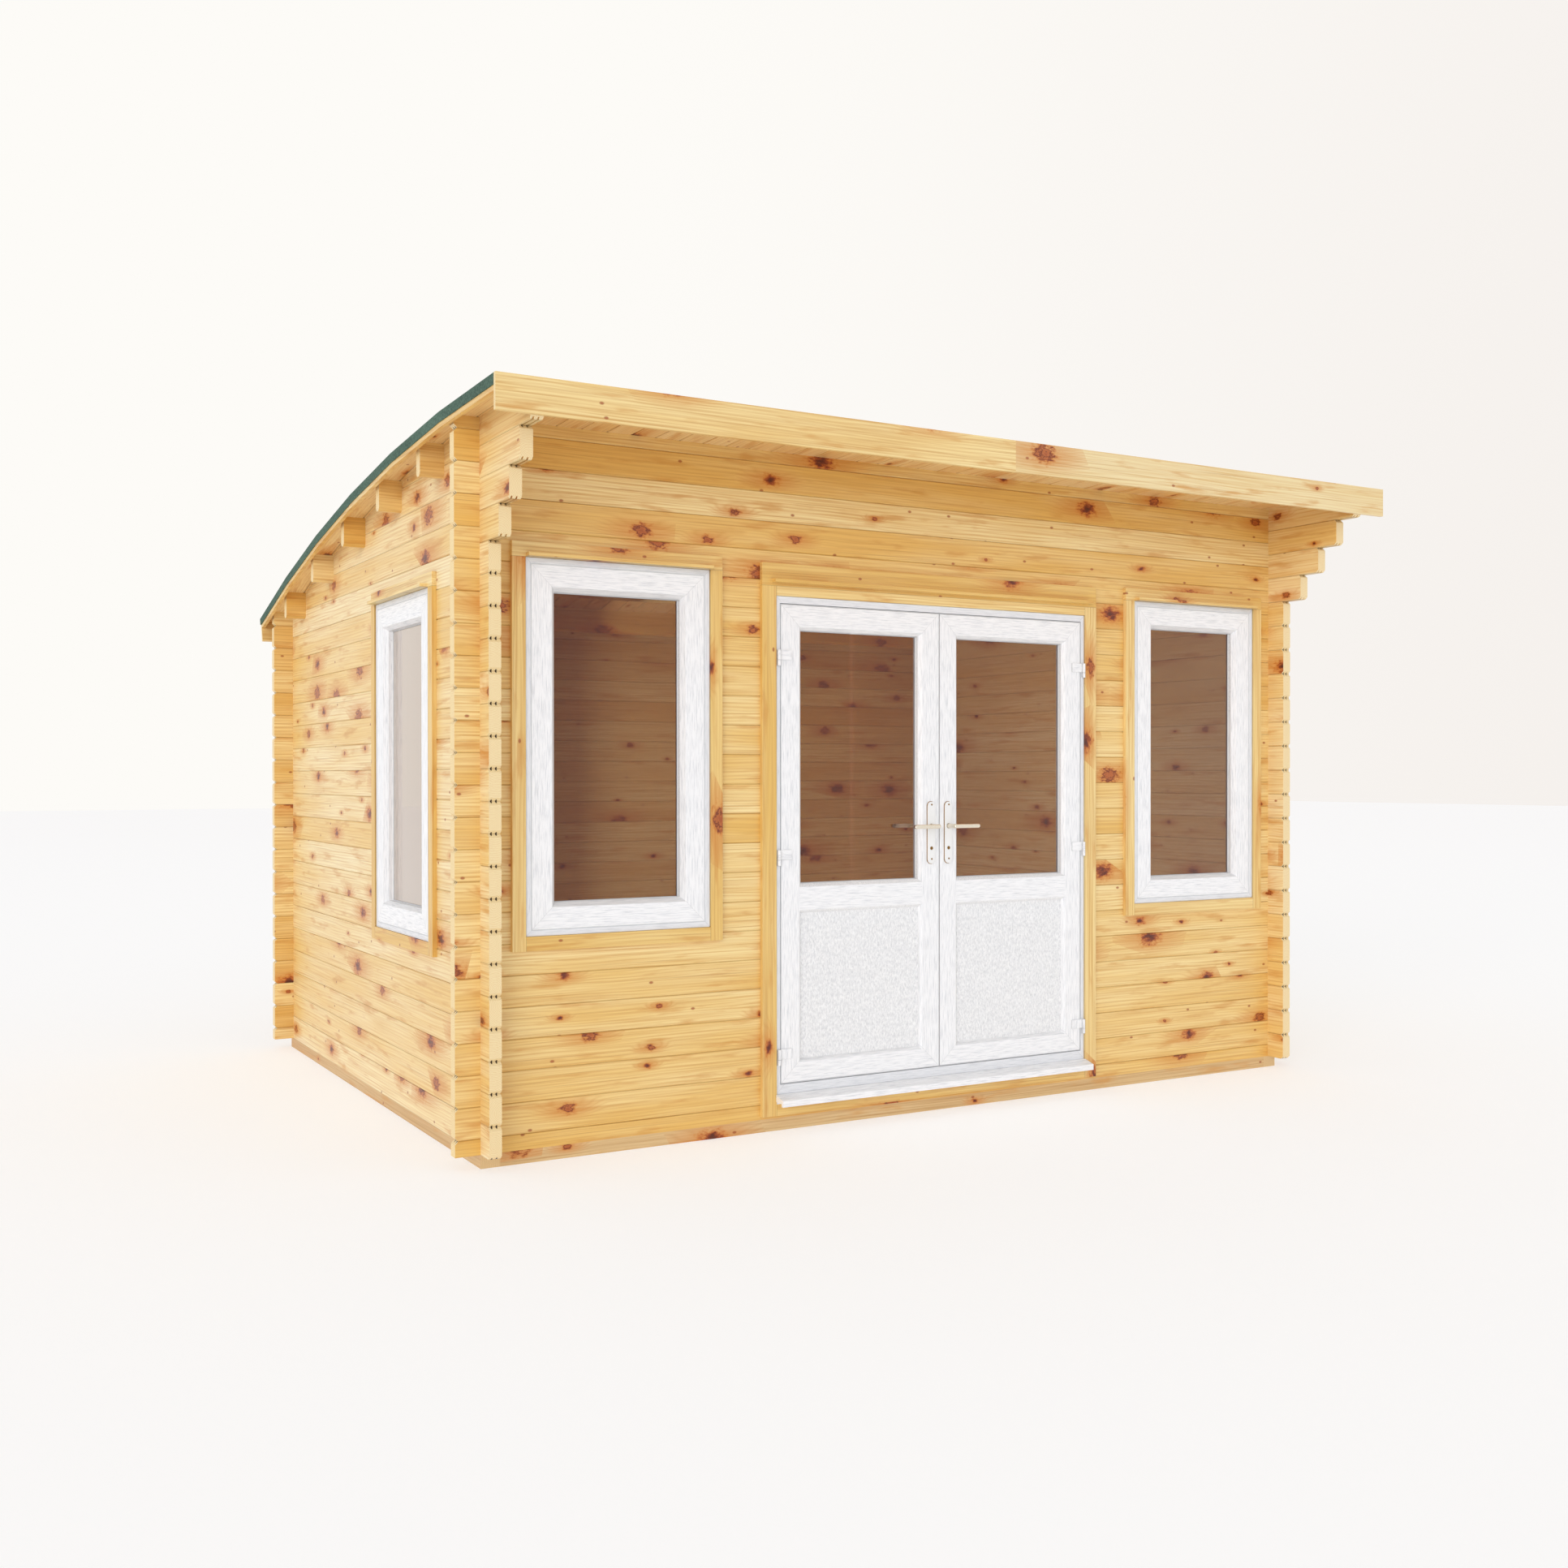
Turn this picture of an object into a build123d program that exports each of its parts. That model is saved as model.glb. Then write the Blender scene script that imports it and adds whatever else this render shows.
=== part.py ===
"""Log cabin with an arched lean-to roof, double doors and three casement windows.

Frame: +X to the right along the front wall, +Y to the rear, +Z up, millimetres.
The origin lies on the ground, under the middle of the walls.
"""
import os
from math import atan, atan2, cos, degrees, pi, sin, sqrt

from build123d import *

os.makedirs("parts", exist_ok=True)


def save(part, name):
    """Label a finished piece and write it as its own file."""
    part.label = name
    export_step(part, f"parts/{name}.step")


# Logs and walls
log_height = 110.0
log_thickness = 44.0
log_end = 90.0              # how far a log runs past the wall that it crosses
logs_length = 4000.0        # end to end of the front and rear wall logs
logs_depth = 3000.0         # end to end of the side wall logs
joint_v = 3.0               # depth and half height of the V along each joint
end_chamfer = 12.0          # 45 degree chamfer above and below each log end
log_count = 23              # whole logs up the front end of a side wall
groove_width = 5.0          # grooves that take the tongues of the log below
groove_depth = 8.0
groove_places = (10.5, 28.0)  # middle of each groove, from the left face of a side wall log
groove_run = 20.0           # how far the open grooves run on behind the plain log ends

# Base and floor
bearer_height = 48.0
bearer_width = 70.0
joist_width = 45.0
joist_count = 7
floor_thickness = 19.0

# Roof
roof_radius = 12861.0       # arch of the outer roof face, level at the front fascia
roof_facets = 6
roof_width = 4064.0
front_overhang = 502.0      # wall face to the outer face of the front fascia
rear_overhang = 122.0
board_thickness = 16.0
felt_thickness = 3.0
corbel_count = 4
corbel_step = 100.0
purlin_count = 5
purlin_height = 122.0
purlin_first = 383.0        # front wall face to the front face of the first purlin
purlin_spacing = 530.0
purlin_chamfer = 12.0
fascia_height = 118.0
fascia_thickness = 16.0
gable_board_height = 53.0
gable_board_thickness = 16.0
felt_lap = 36.0             # felt turned down over the gable boards
rear_felt_lap = 30.0

# Door set
door_frame_width = 1507.0
door_frame_top = 2023.0
door_frame_depth = 60.0
door_frame_side = 17.5      # face width of the frame beside a leaf
door_frame_head = 27.0
door_frame_foot = 36.0
frame_proud = 12.0          # white frames stand this far out of the wall
stop_width = 12.0           # rebate that the leaves and sashes close towards
stop_depth = 8.0
leaf_gap = 5.0              # between a leaf and its frame
meeting_gap = 6.0
meeting_bevel = 4.0
stile = 80.0                # also the height of the top rail
bottom_rail = 73.0
mid_rail_bottom = 832.0     # heights above ground
mid_rail_top = 920.0
rail_bevel = 12.0
rail_bevel_depth = 14.0
pane_thickness = 24.0       # glass and panels, in the leaves and the windows
pane_inset = 6.0            # how far panes reach into their frames
cill_height = 36.0
cill_projection = 70.0      # wall face to the front of the nose
cill_nose_height = 24.0
cill_nose_drop = 3.0        # below the body of the cill
cill_lip = 12.0             # thickness of the nose, in front of the undercut
cill_undercut = 9.0         # underside behind the nose, above the body's underside
cill_overhang = 4.0         # each end of the nose, past the frame

# Hinges and handles
hinge_heights = (279.0, 1033.0, 1789.0)
hinge_height = 60.0
hinge_upper = 38.0          # height of the half on the leaf
knuckle_gap = 0.5
knuckle_radius = 7.0
hinge_clearance = 1.0
hinge_pin_radius = 3.5
pin_flats = 8               # round pins and bores are drawn with flats, to keep the triangles few
pin_clearance = 0.4
hinge_plate = 3.0
hinge_leaf_width = 58.0     # from the axis to the end of the plate
hinge_web = 8.0
handle_height = 1142.0
handle_inset = 42.0         # from the meeting line to the spindle
bore_flats = 12             # round the bores of the backplates and the lever necks
end_flats = 5               # round each end of the backplates and the levers
plate_width = 34.0
plate_top = 98.0            # above the spindle
plate_bottom = 150.0        # below the spindle
plate_thickness = 8.0
keyhole_drop = 88.0         # below the spindle
keyhole_radius = 7.0
spindle_size = 8.0
spindle_clearance = 1.0
neck_radius = 9.0
neck_gap = 1.0              # neck to the backplate, and to the face of the leaf
lever_length = 117.0        # spindle to tip
lever_height = 16.0
lever_depth = 11.0
lever_chamfer = 2.0
lever_stand_off = 58.0      # leaf face to the middle of the lever

# Windows
window_width = 716.0
window_height = 1314.0
window_frame_face = 20.0
window_frame_depth = 60.0
window_gap = 3.0
sash_face = 75.0
sash_depth = 50.0
sash_bevel = 15.0
sash_bevel_depth = 22.0
front_window_x = 1392.5     # middle of each front window from the middle of the wall
front_window_bottom = 787.0
side_window_y = -524.5
side_window_bottom = 728.0

# Timber trim
trim_thickness = 18.0
trim_width = 50.0
door_trim_width = 62.0
door_trim_bottom = 59.0
door_head_inner = 36.0      # board between the uprights, over the door frame
door_head_outer = 86.0      # board over the uprights
fit_gap = 0.5               # trim to frame
wall_gap = 4.0              # wall to frame, behind the trim
drip_height = 13.0
drip_projection = 30.0      # past the face of the trim
door_drip_half = 775.0
door_drip_rise = 12.0       # above the lower edge of the outer head board
window_head = 53.0

# Worked out from the sizes above
wall_base = bearer_height
wall_x = logs_length / 2 - log_end            # outer face of the side walls
wall_y = logs_depth / 2 - log_end             # outer face of the front and rear walls
log_tip_y = logs_depth / 2
log_tip_x = logs_length / 2
roof_skin = board_thickness + felt_thickness
roof_top = wall_base + log_count * log_height + roof_skin
fascia_y = -wall_y - front_overhang           # outer face of the front fascia
fascia_back = fascia_y + fascia_thickness
roof_rear_y = wall_y + rear_overhang
facet_run = (roof_rear_y - fascia_y) / roof_facets
sill_top = wall_base + log_height / 2
frame_bottom = sill_top + cill_height
door_half = door_frame_width / 2
opening_half = door_half + wall_gap
frame_face_y = -wall_y - frame_proud


# The roof follows chords of one arch
def arch_z(run):
    """Height of the arch at a distance behind the front fascia."""
    return roof_top - roof_radius + sqrt(roof_radius ** 2 - run ** 2)


def roof_z(y, below=0.0):
    """Height of the outer roof face at y, less a vertical distance below it."""
    first = min(max(int((y - fascia_y) / facet_run), 0), roof_facets - 1)
    start = first * facet_run
    fraction = (y - fascia_y - start) / facet_run
    return arch_z(start) + (arch_z(start + facet_run) - arch_z(start)) * fraction - below


def roof_line(y_start, y_end, below):
    """Points of the roof's faceted line from y_start to y_end, a distance below the outer face."""
    stations = [fascia_y + k * facet_run for k in range(roof_facets + 1)]
    inner = [y for y in stations if y_start + 1 < y < y_end - 1]
    return [(y, roof_z(y, below)) for y in [y_start, *inner, y_end]]


# The rear fascia stands square to the last facet, and the roof's layers stop at its back
rear_pitch = atan2(roof_z(roof_rear_y - facet_run) - roof_z(roof_rear_y), facet_run)


def rear_point(down, inward):
    """A point measured square to the last facet from the rear edge of the outer roof face."""
    y = roof_rear_y - down * sin(rear_pitch) - inward * cos(rear_pitch)
    z = roof_z(roof_rear_y) - down * cos(rear_pitch) + inward * sin(rear_pitch)
    return (y, z)


def roof_layer(above, below):
    """Closed outline of a layer of the roof, from the back of one fascia to the back of the other."""
    drop = cos(rear_pitch)
    upper = roof_line(fascia_back, roof_rear_y, above)[:-1] + [rear_point(above * drop, fascia_thickness)]
    lower = roof_line(fascia_back, roof_rear_y, below)[:-1] + [rear_point(below * drop, fascia_thickness)]
    return upper + lower[::-1]


def prism(plane, outline, amount):
    """A solid made from a closed outline on a plane."""
    with BuildPart() as solid:
        with BuildSketch(plane):
            with BuildLine():
                Polyline(*outline, close=True)
            make_face()
        extrude(amount=amount)
    return solid.part


# Base and floor
for side, name in ((-1, "left_bearer"), (1, "right_bearer")):
    with BuildPart() as bearer:
        with BuildSketch():
            with Locations((side * (wall_x - bearer_width / 2), 0)):
                Rectangle(bearer_width, 2 * wall_y)
        extrude(amount=bearer_height)
    save(bearer.part, name)

cross_length = 2 * (wall_x - bearer_width)
cross_spread = 2 * wall_y - bearer_width
with BuildPart() as floor_joists:
    with BuildSketch():
        with GridLocations(0, cross_spread, 1, 2):
            Rectangle(cross_length, bearer_width)
        with GridLocations(0, cross_spread / (joist_count + 1), 1, joist_count):
            Rectangle(cross_length, joist_width)
    extrude(amount=bearer_height)
save(floor_joists.part, "floor_joists")

with BuildPart() as floor_boards:
    with BuildSketch(Plane.XY.offset(wall_base)):
        Rectangle(2 * (wall_x - log_thickness), 2 * (wall_y - log_thickness))
    extrude(amount=floor_thickness)
save(floor_boards.part, "floor_boards")


# Purlins rest in the side walls, so their section is needed before the walls
def purlin_outline(k):
    """Section of one purlin, its top cut to the underside of the roof boards."""
    near = -wall_y + purlin_first + k * purlin_spacing
    far = near + log_thickness
    foot = roof_z(near, roof_skin) - purlin_height
    return [
        (near, foot + purlin_chamfer),
        (near, roof_z(near, roof_skin)),
        (far, roof_z(far, roof_skin)),
        (far, foot + purlin_chamfer),
        (far - purlin_chamfer, foot),
        (near + purlin_chamfer, foot),
    ]


with BuildPart() as purlins:
    for k in range(purlin_count):
        add(prism(Plane.YZ.offset(-log_tip_x), purlin_outline(k), 2 * log_tip_x))
save(purlins.part, "purlins")


# Walls: at each corner the crossing walls take half a log each in turn
corbel_base = log_count - corbel_count
seat_height = log_height / 2


def corbel_tip(k):
    """Front end of the k-th corbelled log, counted from the plain column under it."""
    return max(-log_tip_y - k * corbel_step, fascia_back)


def side_wall_outline():
    """Side view of a side wall: plain log ends, corbels to the front, and a top under the roof."""
    outline = [(log_tip_y, wall_base), (-log_tip_y, wall_base)]
    for k in range(corbel_count):
        z = wall_base + (corbel_base + k) * log_height
        tip, next_tip = corbel_tip(k), corbel_tip(k + 1)
        outline += [(tip, z - end_chamfer), (tip + end_chamfer, z)]
        outline += [(next_tip + end_chamfer, z), (next_tip, z + end_chamfer)]
    return outline + roof_line(corbel_tip(corbel_count), log_tip_y, roof_skin)


def side_wall(side):
    """A side wall as one interlocked stack of logs."""
    near = -wall_x if side < 0 else wall_x - log_thickness
    elevation = Plane.YZ.offset(near)
    diamond = end_chamfer * sqrt(2)
    with BuildPart() as wall:
        with BuildSketch(elevation):
            with BuildLine():
                Polyline(*side_wall_outline(), close=True)
            make_face()
            for y, count in ((-wall_y + log_thickness / 2, log_count + 1), (wall_y - log_thickness / 2, log_count)):
                with Locations((y, wall_base + (count - 1) * log_height / 2)):
                    with GridLocations(0, log_height, 1, count):
                        Rectangle(log_thickness, seat_height, mode=Mode.SUBTRACT)
            with Locations((0, wall_base + (corbel_base - 1) * log_height / 2)):
                with GridLocations(2 * log_tip_y, log_height, 2, corbel_base):
                    Rectangle(diamond, diamond, rotation=45, mode=Mode.SUBTRACT)
            if side < 0:
                with Locations((side_window_y, side_window_bottom + (window_height + wall_gap) / 2)):
                    Rectangle(window_width + 2 * wall_gap, window_height + wall_gap, mode=Mode.SUBTRACT)
        extrude(amount=log_thickness)
        with BuildSketch(Plane.XZ.offset(-log_tip_y)):
            with Locations((near + log_thickness / 2, wall_base + log_count * log_height / 2)):
                with GridLocations(log_thickness, log_height, 2, log_count - 1):
                    Rectangle(joint_v * sqrt(2), joint_v * sqrt(2), rotation=45)
        extrude(amount=log_tip_y - fascia_y, mode=Mode.SUBTRACT, clean=False)
        for k in range(1, corbel_count + 1):
            z = wall_base + (corbel_base + k - 1) * log_height
            with BuildSketch(Plane.XZ.offset(-corbel_tip(k))):
                for place in groove_places:
                    with Locations((near + place, z)):
                        Rectangle(groove_width, 2 * groove_depth)
            extrude(amount=corbel_tip(k) - corbel_tip(k - 1) - groove_run, mode=Mode.SUBTRACT, clean=False)
        behind_fascia = [
            rear_point(-rear_overhang, fascia_thickness),
            rear_point(-rear_overhang, -rear_overhang),
            rear_point(fascia_height, -rear_overhang),
            rear_point(fascia_height, fascia_thickness),
        ]
        for cut in [*(purlin_outline(k) for k in range(purlin_count)), behind_fascia]:
            add(prism(elevation, cut, log_thickness), mode=Mode.SUBTRACT, clean=False)
    return wall.part


save(side_wall(-1), "left_wall")
save(side_wall(1), "right_wall")


def cross_wall(y_near, x_from, x_to, corners, holes=()):
    """A front or rear wall between two x values, with its top cut to the roof."""
    y_far = y_near + log_thickness
    top = max(roof_z(y_near, roof_skin), roof_z(y_far, roof_skin))
    first_joint = wall_base + log_height / 2
    joints = int((top - first_joint) / log_height) + 1
    middle_joint = first_joint + (joints - 1) * log_height / 2
    diamond = end_chamfer * sqrt(2)
    with BuildPart() as wall:
        with BuildSketch(Plane.XZ.offset(-y_near)):
            with Locations(((x_from + x_to) / 2, (wall_base + top) / 2)):
                Rectangle(x_to - x_from, top - wall_base)
            for side in corners:
                with Locations((side * (wall_x - log_thickness / 2), middle_joint)):
                    with GridLocations(0, log_height, 1, joints):
                        Rectangle(log_thickness, seat_height, mode=Mode.SUBTRACT)
                with Locations((side * log_tip_x, middle_joint)):
                    with GridLocations(0, log_height, 1, joints):
                        Rectangle(diamond, diamond, rotation=45, mode=Mode.SUBTRACT)
            for middle, bottom, width, height in holes:
                with Locations((middle, bottom + height / 2)):
                    Rectangle(width, height, mode=Mode.SUBTRACT)
        extrude(amount=-log_thickness)
        with BuildSketch(Plane.YZ.offset(x_from)):
            with Locations((y_near + log_thickness / 2, middle_joint)):
                with GridLocations(log_thickness, log_height, 2, joints):
                    Rectangle(joint_v * sqrt(2), joint_v * sqrt(2), rotation=45)
        extrude(amount=x_to - x_from, mode=Mode.SUBTRACT, clean=False)
        above_roof = [
            (y_near, roof_z(y_near, roof_skin)),
            (y_near, roof_top),
            (y_far, roof_top),
            (y_far, roof_z(y_far, roof_skin)),
        ]
        add(prism(Plane.YZ.offset(x_from), above_roof, x_to - x_from), mode=Mode.SUBTRACT, clean=False)
    return wall.part


window_hole = (front_window_bottom, window_width + 2 * wall_gap, window_height + wall_gap)
save(cross_wall(wall_y - log_thickness, -log_tip_x, log_tip_x, (-1, 1)), "rear_wall")
save(cross_wall(-wall_y, -log_tip_x, -opening_half, (-1,), [(-front_window_x, *window_hole)]), "front_wall_left")
save(cross_wall(-wall_y, opening_half, log_tip_x, (1,), [(front_window_x, *window_hole)]), "front_wall_right")

middle_wall = cross_wall(-wall_y, -opening_half, opening_half, ())
for name, low, high in (
    ("front_wall_head", door_frame_top + wall_gap, roof_top),
    ("front_wall_sill", wall_base, sill_top),
):
    with BuildPart() as bay:
        add(middle_wall)
        with BuildSketch(Plane.XY.offset(low)):
            with Locations((0, -wall_y + log_thickness / 2)):
                Rectangle(2 * opening_half, log_thickness)
        extrude(amount=high - low, mode=Mode.INTERSECT)
    save(bay.part, name)

# Roof
gable_out = roof_width / 2 - felt_thickness
deck_x = gable_out - gable_board_thickness
left_edge = Plane.YZ.offset(-roof_width / 2)
save(prism(Plane.YZ.offset(-deck_x), roof_layer(felt_thickness, roof_skin), 2 * deck_x), "roof_boards")

gable_layer = roof_layer(felt_thickness, gable_board_height)
save(prism(Plane.YZ.offset(-gable_out), gable_layer, gable_board_thickness), "left_gable_board")
save(prism(Plane.YZ.offset(deck_x), gable_layer, gable_board_thickness), "right_gable_board")

felt_drop = felt_thickness * cos(rear_pitch)
with BuildPart() as roof_felt:
    add(prism(left_edge, roof_layer(0, felt_thickness), roof_width))
    add(prism(left_edge, roof_layer(0, felt_lap), felt_thickness))
    add(prism(Plane.YZ.offset(gable_out), roof_layer(0, felt_lap), felt_thickness))
    rear_lap = [
        rear_point(0, fascia_thickness),
        rear_point(0, -felt_thickness),
        rear_point(rear_felt_lap, -felt_thickness),
        rear_point(rear_felt_lap, 0),
        rear_point(felt_drop, 0),
        rear_point(felt_drop, fascia_thickness),
    ]
    add(prism(left_edge, rear_lap, roof_width))
save(roof_felt.part, "roof_felt")

front_board = [
    (fascia_y, roof_top - fascia_height),
    (fascia_y, roof_top),
    (fascia_back, roof_top),
    (fascia_back, roof_top - fascia_height),
]
save(prism(left_edge, front_board, roof_width / 2), "front_fascia_left")
save(prism(Plane.YZ, front_board, roof_width / 2), "front_fascia_right")

rear_board = [
    rear_point(felt_drop, fascia_thickness),
    rear_point(felt_drop, 0),
    rear_point(fascia_height, 0),
    rear_point(fascia_height, fascia_thickness),
]
save(prism(Plane.YZ.offset(-gable_out), rear_board, 2 * gable_out), "rear_fascia")

# Door frame and cill. On this plane x runs along the wall, y is the height and z points out of the wall
front = Plane(origin=(0, -wall_y, 0), x_dir=(1, 0, 0), z_dir=(0, -1, 0))
leaf_face = front.offset(frame_proud)
leaf_depth = door_frame_depth - stop_depth - leaf_gap
leaf_zone_half = door_half - door_frame_side
leaf_zone_bottom = frame_bottom + door_frame_foot
leaf_zone_top = door_frame_top - door_frame_head
leaf_zone_height = leaf_zone_top - leaf_zone_bottom
leaf_zone_middle = (0, (leaf_zone_top + leaf_zone_bottom) / 2)

with BuildPart() as door_frame:
    with BuildSketch(leaf_face):
        with Locations((0, (frame_bottom + door_frame_top) / 2)):
            Rectangle(door_frame_width, door_frame_top - frame_bottom)
        with Locations(leaf_zone_middle):
            Rectangle(2 * leaf_zone_half, leaf_zone_height, mode=Mode.SUBTRACT)
    extrude(amount=stop_depth - door_frame_depth)
    with BuildSketch(leaf_face.offset(stop_depth - door_frame_depth)):
        with Locations((0, (frame_bottom + door_frame_top) / 2)):
            Rectangle(door_frame_width, door_frame_top - frame_bottom)
        with Locations(leaf_zone_middle):
            Rectangle(
                2 * (leaf_zone_half - stop_width), leaf_zone_height - 2 * stop_width, mode=Mode.SUBTRACT
            )
    extrude(amount=-stop_depth)
save(door_frame.part, "door_frame")

trim_face_y = -wall_y - trim_thickness
nose_y = -wall_y - cill_projection
cill_back_y = frame_face_y + door_frame_depth
nose_back_y = trim_face_y - fit_gap
nose_bottom = sill_top - cill_nose_drop
with BuildPart() as door_cill:
    body = [
        (nose_back_y, sill_top),
        (nose_back_y, frame_bottom),
        (cill_back_y, frame_bottom),
        (cill_back_y, sill_top),
    ]
    add(prism(Plane.YZ.offset(-door_half), body, door_frame_width))
    nose = [
        (nose_back_y, sill_top + cill_undercut),
        (nose_back_y, frame_bottom),
        (nose_y, nose_bottom + cill_nose_height),
        (nose_y, nose_bottom),
        (nose_y + cill_lip, nose_bottom),
        (nose_y + cill_lip, sill_top + cill_undercut),
    ]
    nose_half = door_half + cill_overhang
    add(prism(Plane.YZ.offset(-nose_half), nose, 2 * nose_half))
save(door_cill.part, "door_cill")


# Timber trim: uprights, cross boards between and over them, and a drip rail
def trim_board(plane, x, z, width, height, thickness=trim_thickness):
    """One board on a wall, from the middle of its lower edge."""
    with BuildPart() as board:
        with BuildSketch(plane):
            with Locations((x, z + height / 2)):
                Rectangle(width, height)
        extrude(amount=thickness)
    return board.part


drip_reach = trim_thickness + drip_projection
door_inner_half = door_half + fit_gap
door_upright_top = door_frame_top + fit_gap + door_head_inner
with BuildPart() as door_trim:
    for side in (-1, 1):
        x = side * (door_inner_half + door_trim_width / 2)
        add(trim_board(front, x, door_trim_bottom, door_trim_width, door_upright_top - door_trim_bottom))
    add(trim_board(front, 0, door_trim_bottom, 2 * door_inner_half, sill_top - door_trim_bottom))
    add(trim_board(front, 0, door_frame_top + fit_gap, 2 * door_inner_half, door_head_inner))
    add(trim_board(front, 0, door_upright_top, 2 * (door_inner_half + door_trim_width), door_head_outer))
    add(trim_board(front, 0, door_upright_top + door_drip_rise, 2 * door_drip_half, drip_height, drip_reach))
save(door_trim.part, "door_trim")

# Hinges stand over the sides of the frame. The pin is on the frame's half, and the leaf's half turns on it
hinge_axis_y = frame_face_y - knuckle_radius - hinge_clearance
hinge_axis_x = door_half - door_frame_side / 2
hinge_lower = hinge_height - hinge_upper - knuckle_gap
leaf_far = leaf_zone_half - leaf_gap
hinge_pad = leaf_far - hinge_axis_x + hinge_leaf_width


def hinge_half(side, height, on_leaf):
    """One half of a hinge. side is -1 on the left jamb, and height is the middle of the hinge."""
    axis_x = side * hinge_axis_x
    foot = height - hinge_height / 2
    low = foot + hinge_lower + knuckle_gap if on_leaf else foot
    with BuildPart() as half:
        with BuildSketch(Plane.XY.offset(low)):
            with Locations((axis_x, hinge_axis_y)):
                RegularPolygon(knuckle_radius, 10, major_radius=False)
            if on_leaf:
                plate_y = frame_face_y - hinge_clearance - hinge_plate / 2
                with Locations((axis_x - side * hinge_leaf_width / 2, plate_y)):
                    Rectangle(hinge_leaf_width, hinge_plate)
                with Locations((side * (leaf_far - hinge_pad / 2), frame_face_y - hinge_clearance / 2)):
                    Rectangle(hinge_pad, hinge_clearance)
                with Locations((axis_x, hinge_axis_y)):
                    RegularPolygon(
                        hinge_pin_radius + pin_clearance, pin_flats, major_radius=False, mode=Mode.SUBTRACT
                    )
            else:
                with Locations((axis_x, (hinge_axis_y + frame_face_y) / 2)):
                    Rectangle(hinge_web, frame_face_y - hinge_axis_y)
        extrude(amount=hinge_upper if on_leaf else hinge_lower)
        if not on_leaf:
            with BuildSketch(Plane.XY.offset(foot)):
                with Locations((axis_x, hinge_axis_y)):
                    RegularPolygon(hinge_pin_radius, pin_flats)
            extrude(amount=hinge_height)
    return half.part


for side, name in ((-1, "left"), (1, "right")):
    for on_leaf, place in ((False, "frame"), (True, "leaf")):
        with BuildPart() as hinges:
            for height in hinge_heights:
                add(hinge_half(side, height, on_leaf))
        save(hinges.part, f"{name}_hinges_on_{place}")

# Door leaves
leaf_near = meeting_gap / 2
leaf_bottom = leaf_zone_bottom + leaf_gap
leaf_top = leaf_zone_top - leaf_gap
light_left = leaf_near + stile
light_right = leaf_far - stile
panel_heights = (leaf_bottom + bottom_rail, mid_rail_bottom)
glass_heights = (mid_rail_top, leaf_top - stile)


def bevelled_hole(plane, middle, width, height, bevel, bevel_depth, depth):
    """The space that a pane and its bevelled surround leave in a frame, cut from its outer face."""
    inner = (width - 2 * bevel, height - 2 * bevel)
    with BuildPart() as hole:
        with BuildSketch(plane):
            with Locations(middle):
                Rectangle(width, height)
        extrude(amount=-bevel_depth, taper=degrees(atan(bevel / bevel_depth)))
        with BuildSketch(plane.offset(-bevel_depth)):
            with Locations(middle):
                Rectangle(*inner)
        extrude(amount=bevel_depth - depth)
        with BuildSketch(plane.offset(-bevel_depth)):
            with Locations(middle):
                Rectangle(inner[0] + 2 * pane_inset, inner[1] + 2 * pane_inset)
        extrude(amount=-pane_thickness)
    return hole.part


def pane_sheet(plane, middle, width, height, bevel, bevel_depth):
    """The glass or panel that fills such a space."""
    with BuildPart() as sheet:
        with BuildSketch(plane.offset(-bevel_depth)):
            with Locations(middle):
                Rectangle(width - 2 * bevel + 2 * pane_inset, height - 2 * bevel + 2 * pane_inset)
        extrude(amount=-pane_thickness)
    return sheet.part


def leaf_light(side, heights):
    """Middle, width and height of one light of a leaf."""
    middle = (side * (light_left + light_right) / 2, sum(heights) / 2)
    return middle, light_right - light_left, heights[1] - heights[0]


def door_leaf(side):
    """A door leaf, bevelled round its glass and panel, and along its meeting edge."""
    with BuildPart() as leaf:
        with BuildSketch(leaf_face):
            with Locations((side * (leaf_near + leaf_far) / 2, (leaf_bottom + leaf_top) / 2)):
                Rectangle(leaf_far - leaf_near, leaf_top - leaf_bottom)
        extrude(amount=-leaf_depth)
        for heights in (panel_heights, glass_heights):
            light = leaf_light(side, heights)
            add(bevelled_hole(leaf_face, *light, rail_bevel, rail_bevel_depth, leaf_depth), mode=Mode.SUBTRACT)
        meeting_edge = [
            (side * leaf_near, frame_face_y + leaf_depth),
            (side * (leaf_near + meeting_bevel), frame_face_y + leaf_depth),
            (side * leaf_near, frame_face_y),
        ]
        add(prism(Plane.XY.offset(leaf_bottom), meeting_edge, leaf_top - leaf_bottom), mode=Mode.SUBTRACT)
        with BuildSketch(leaf_face):
            with Locations((side * handle_inset, handle_height)):
                RegularPolygon(spindle_size / sqrt(2) + spindle_clearance, 12, major_radius=False)
        extrude(amount=-leaf_depth, mode=Mode.SUBTRACT)
    return leaf.part


def rounded_bar(length, width):
    """Outline of a flat bar whose round ends are drawn with flats."""
    radius = width / 2
    turns = [pi * (k / end_flats - 0.5) for k in range(end_flats + 1)]
    right = [(length / 2 - radius + radius * cos(t), radius * sin(t)) for t in turns]
    with BuildSketch() as bar:
        with BuildLine():
            Polyline(*right, *((-x, -y) for x, y in right), close=True)
        make_face()
    return bar.sketch


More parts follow.
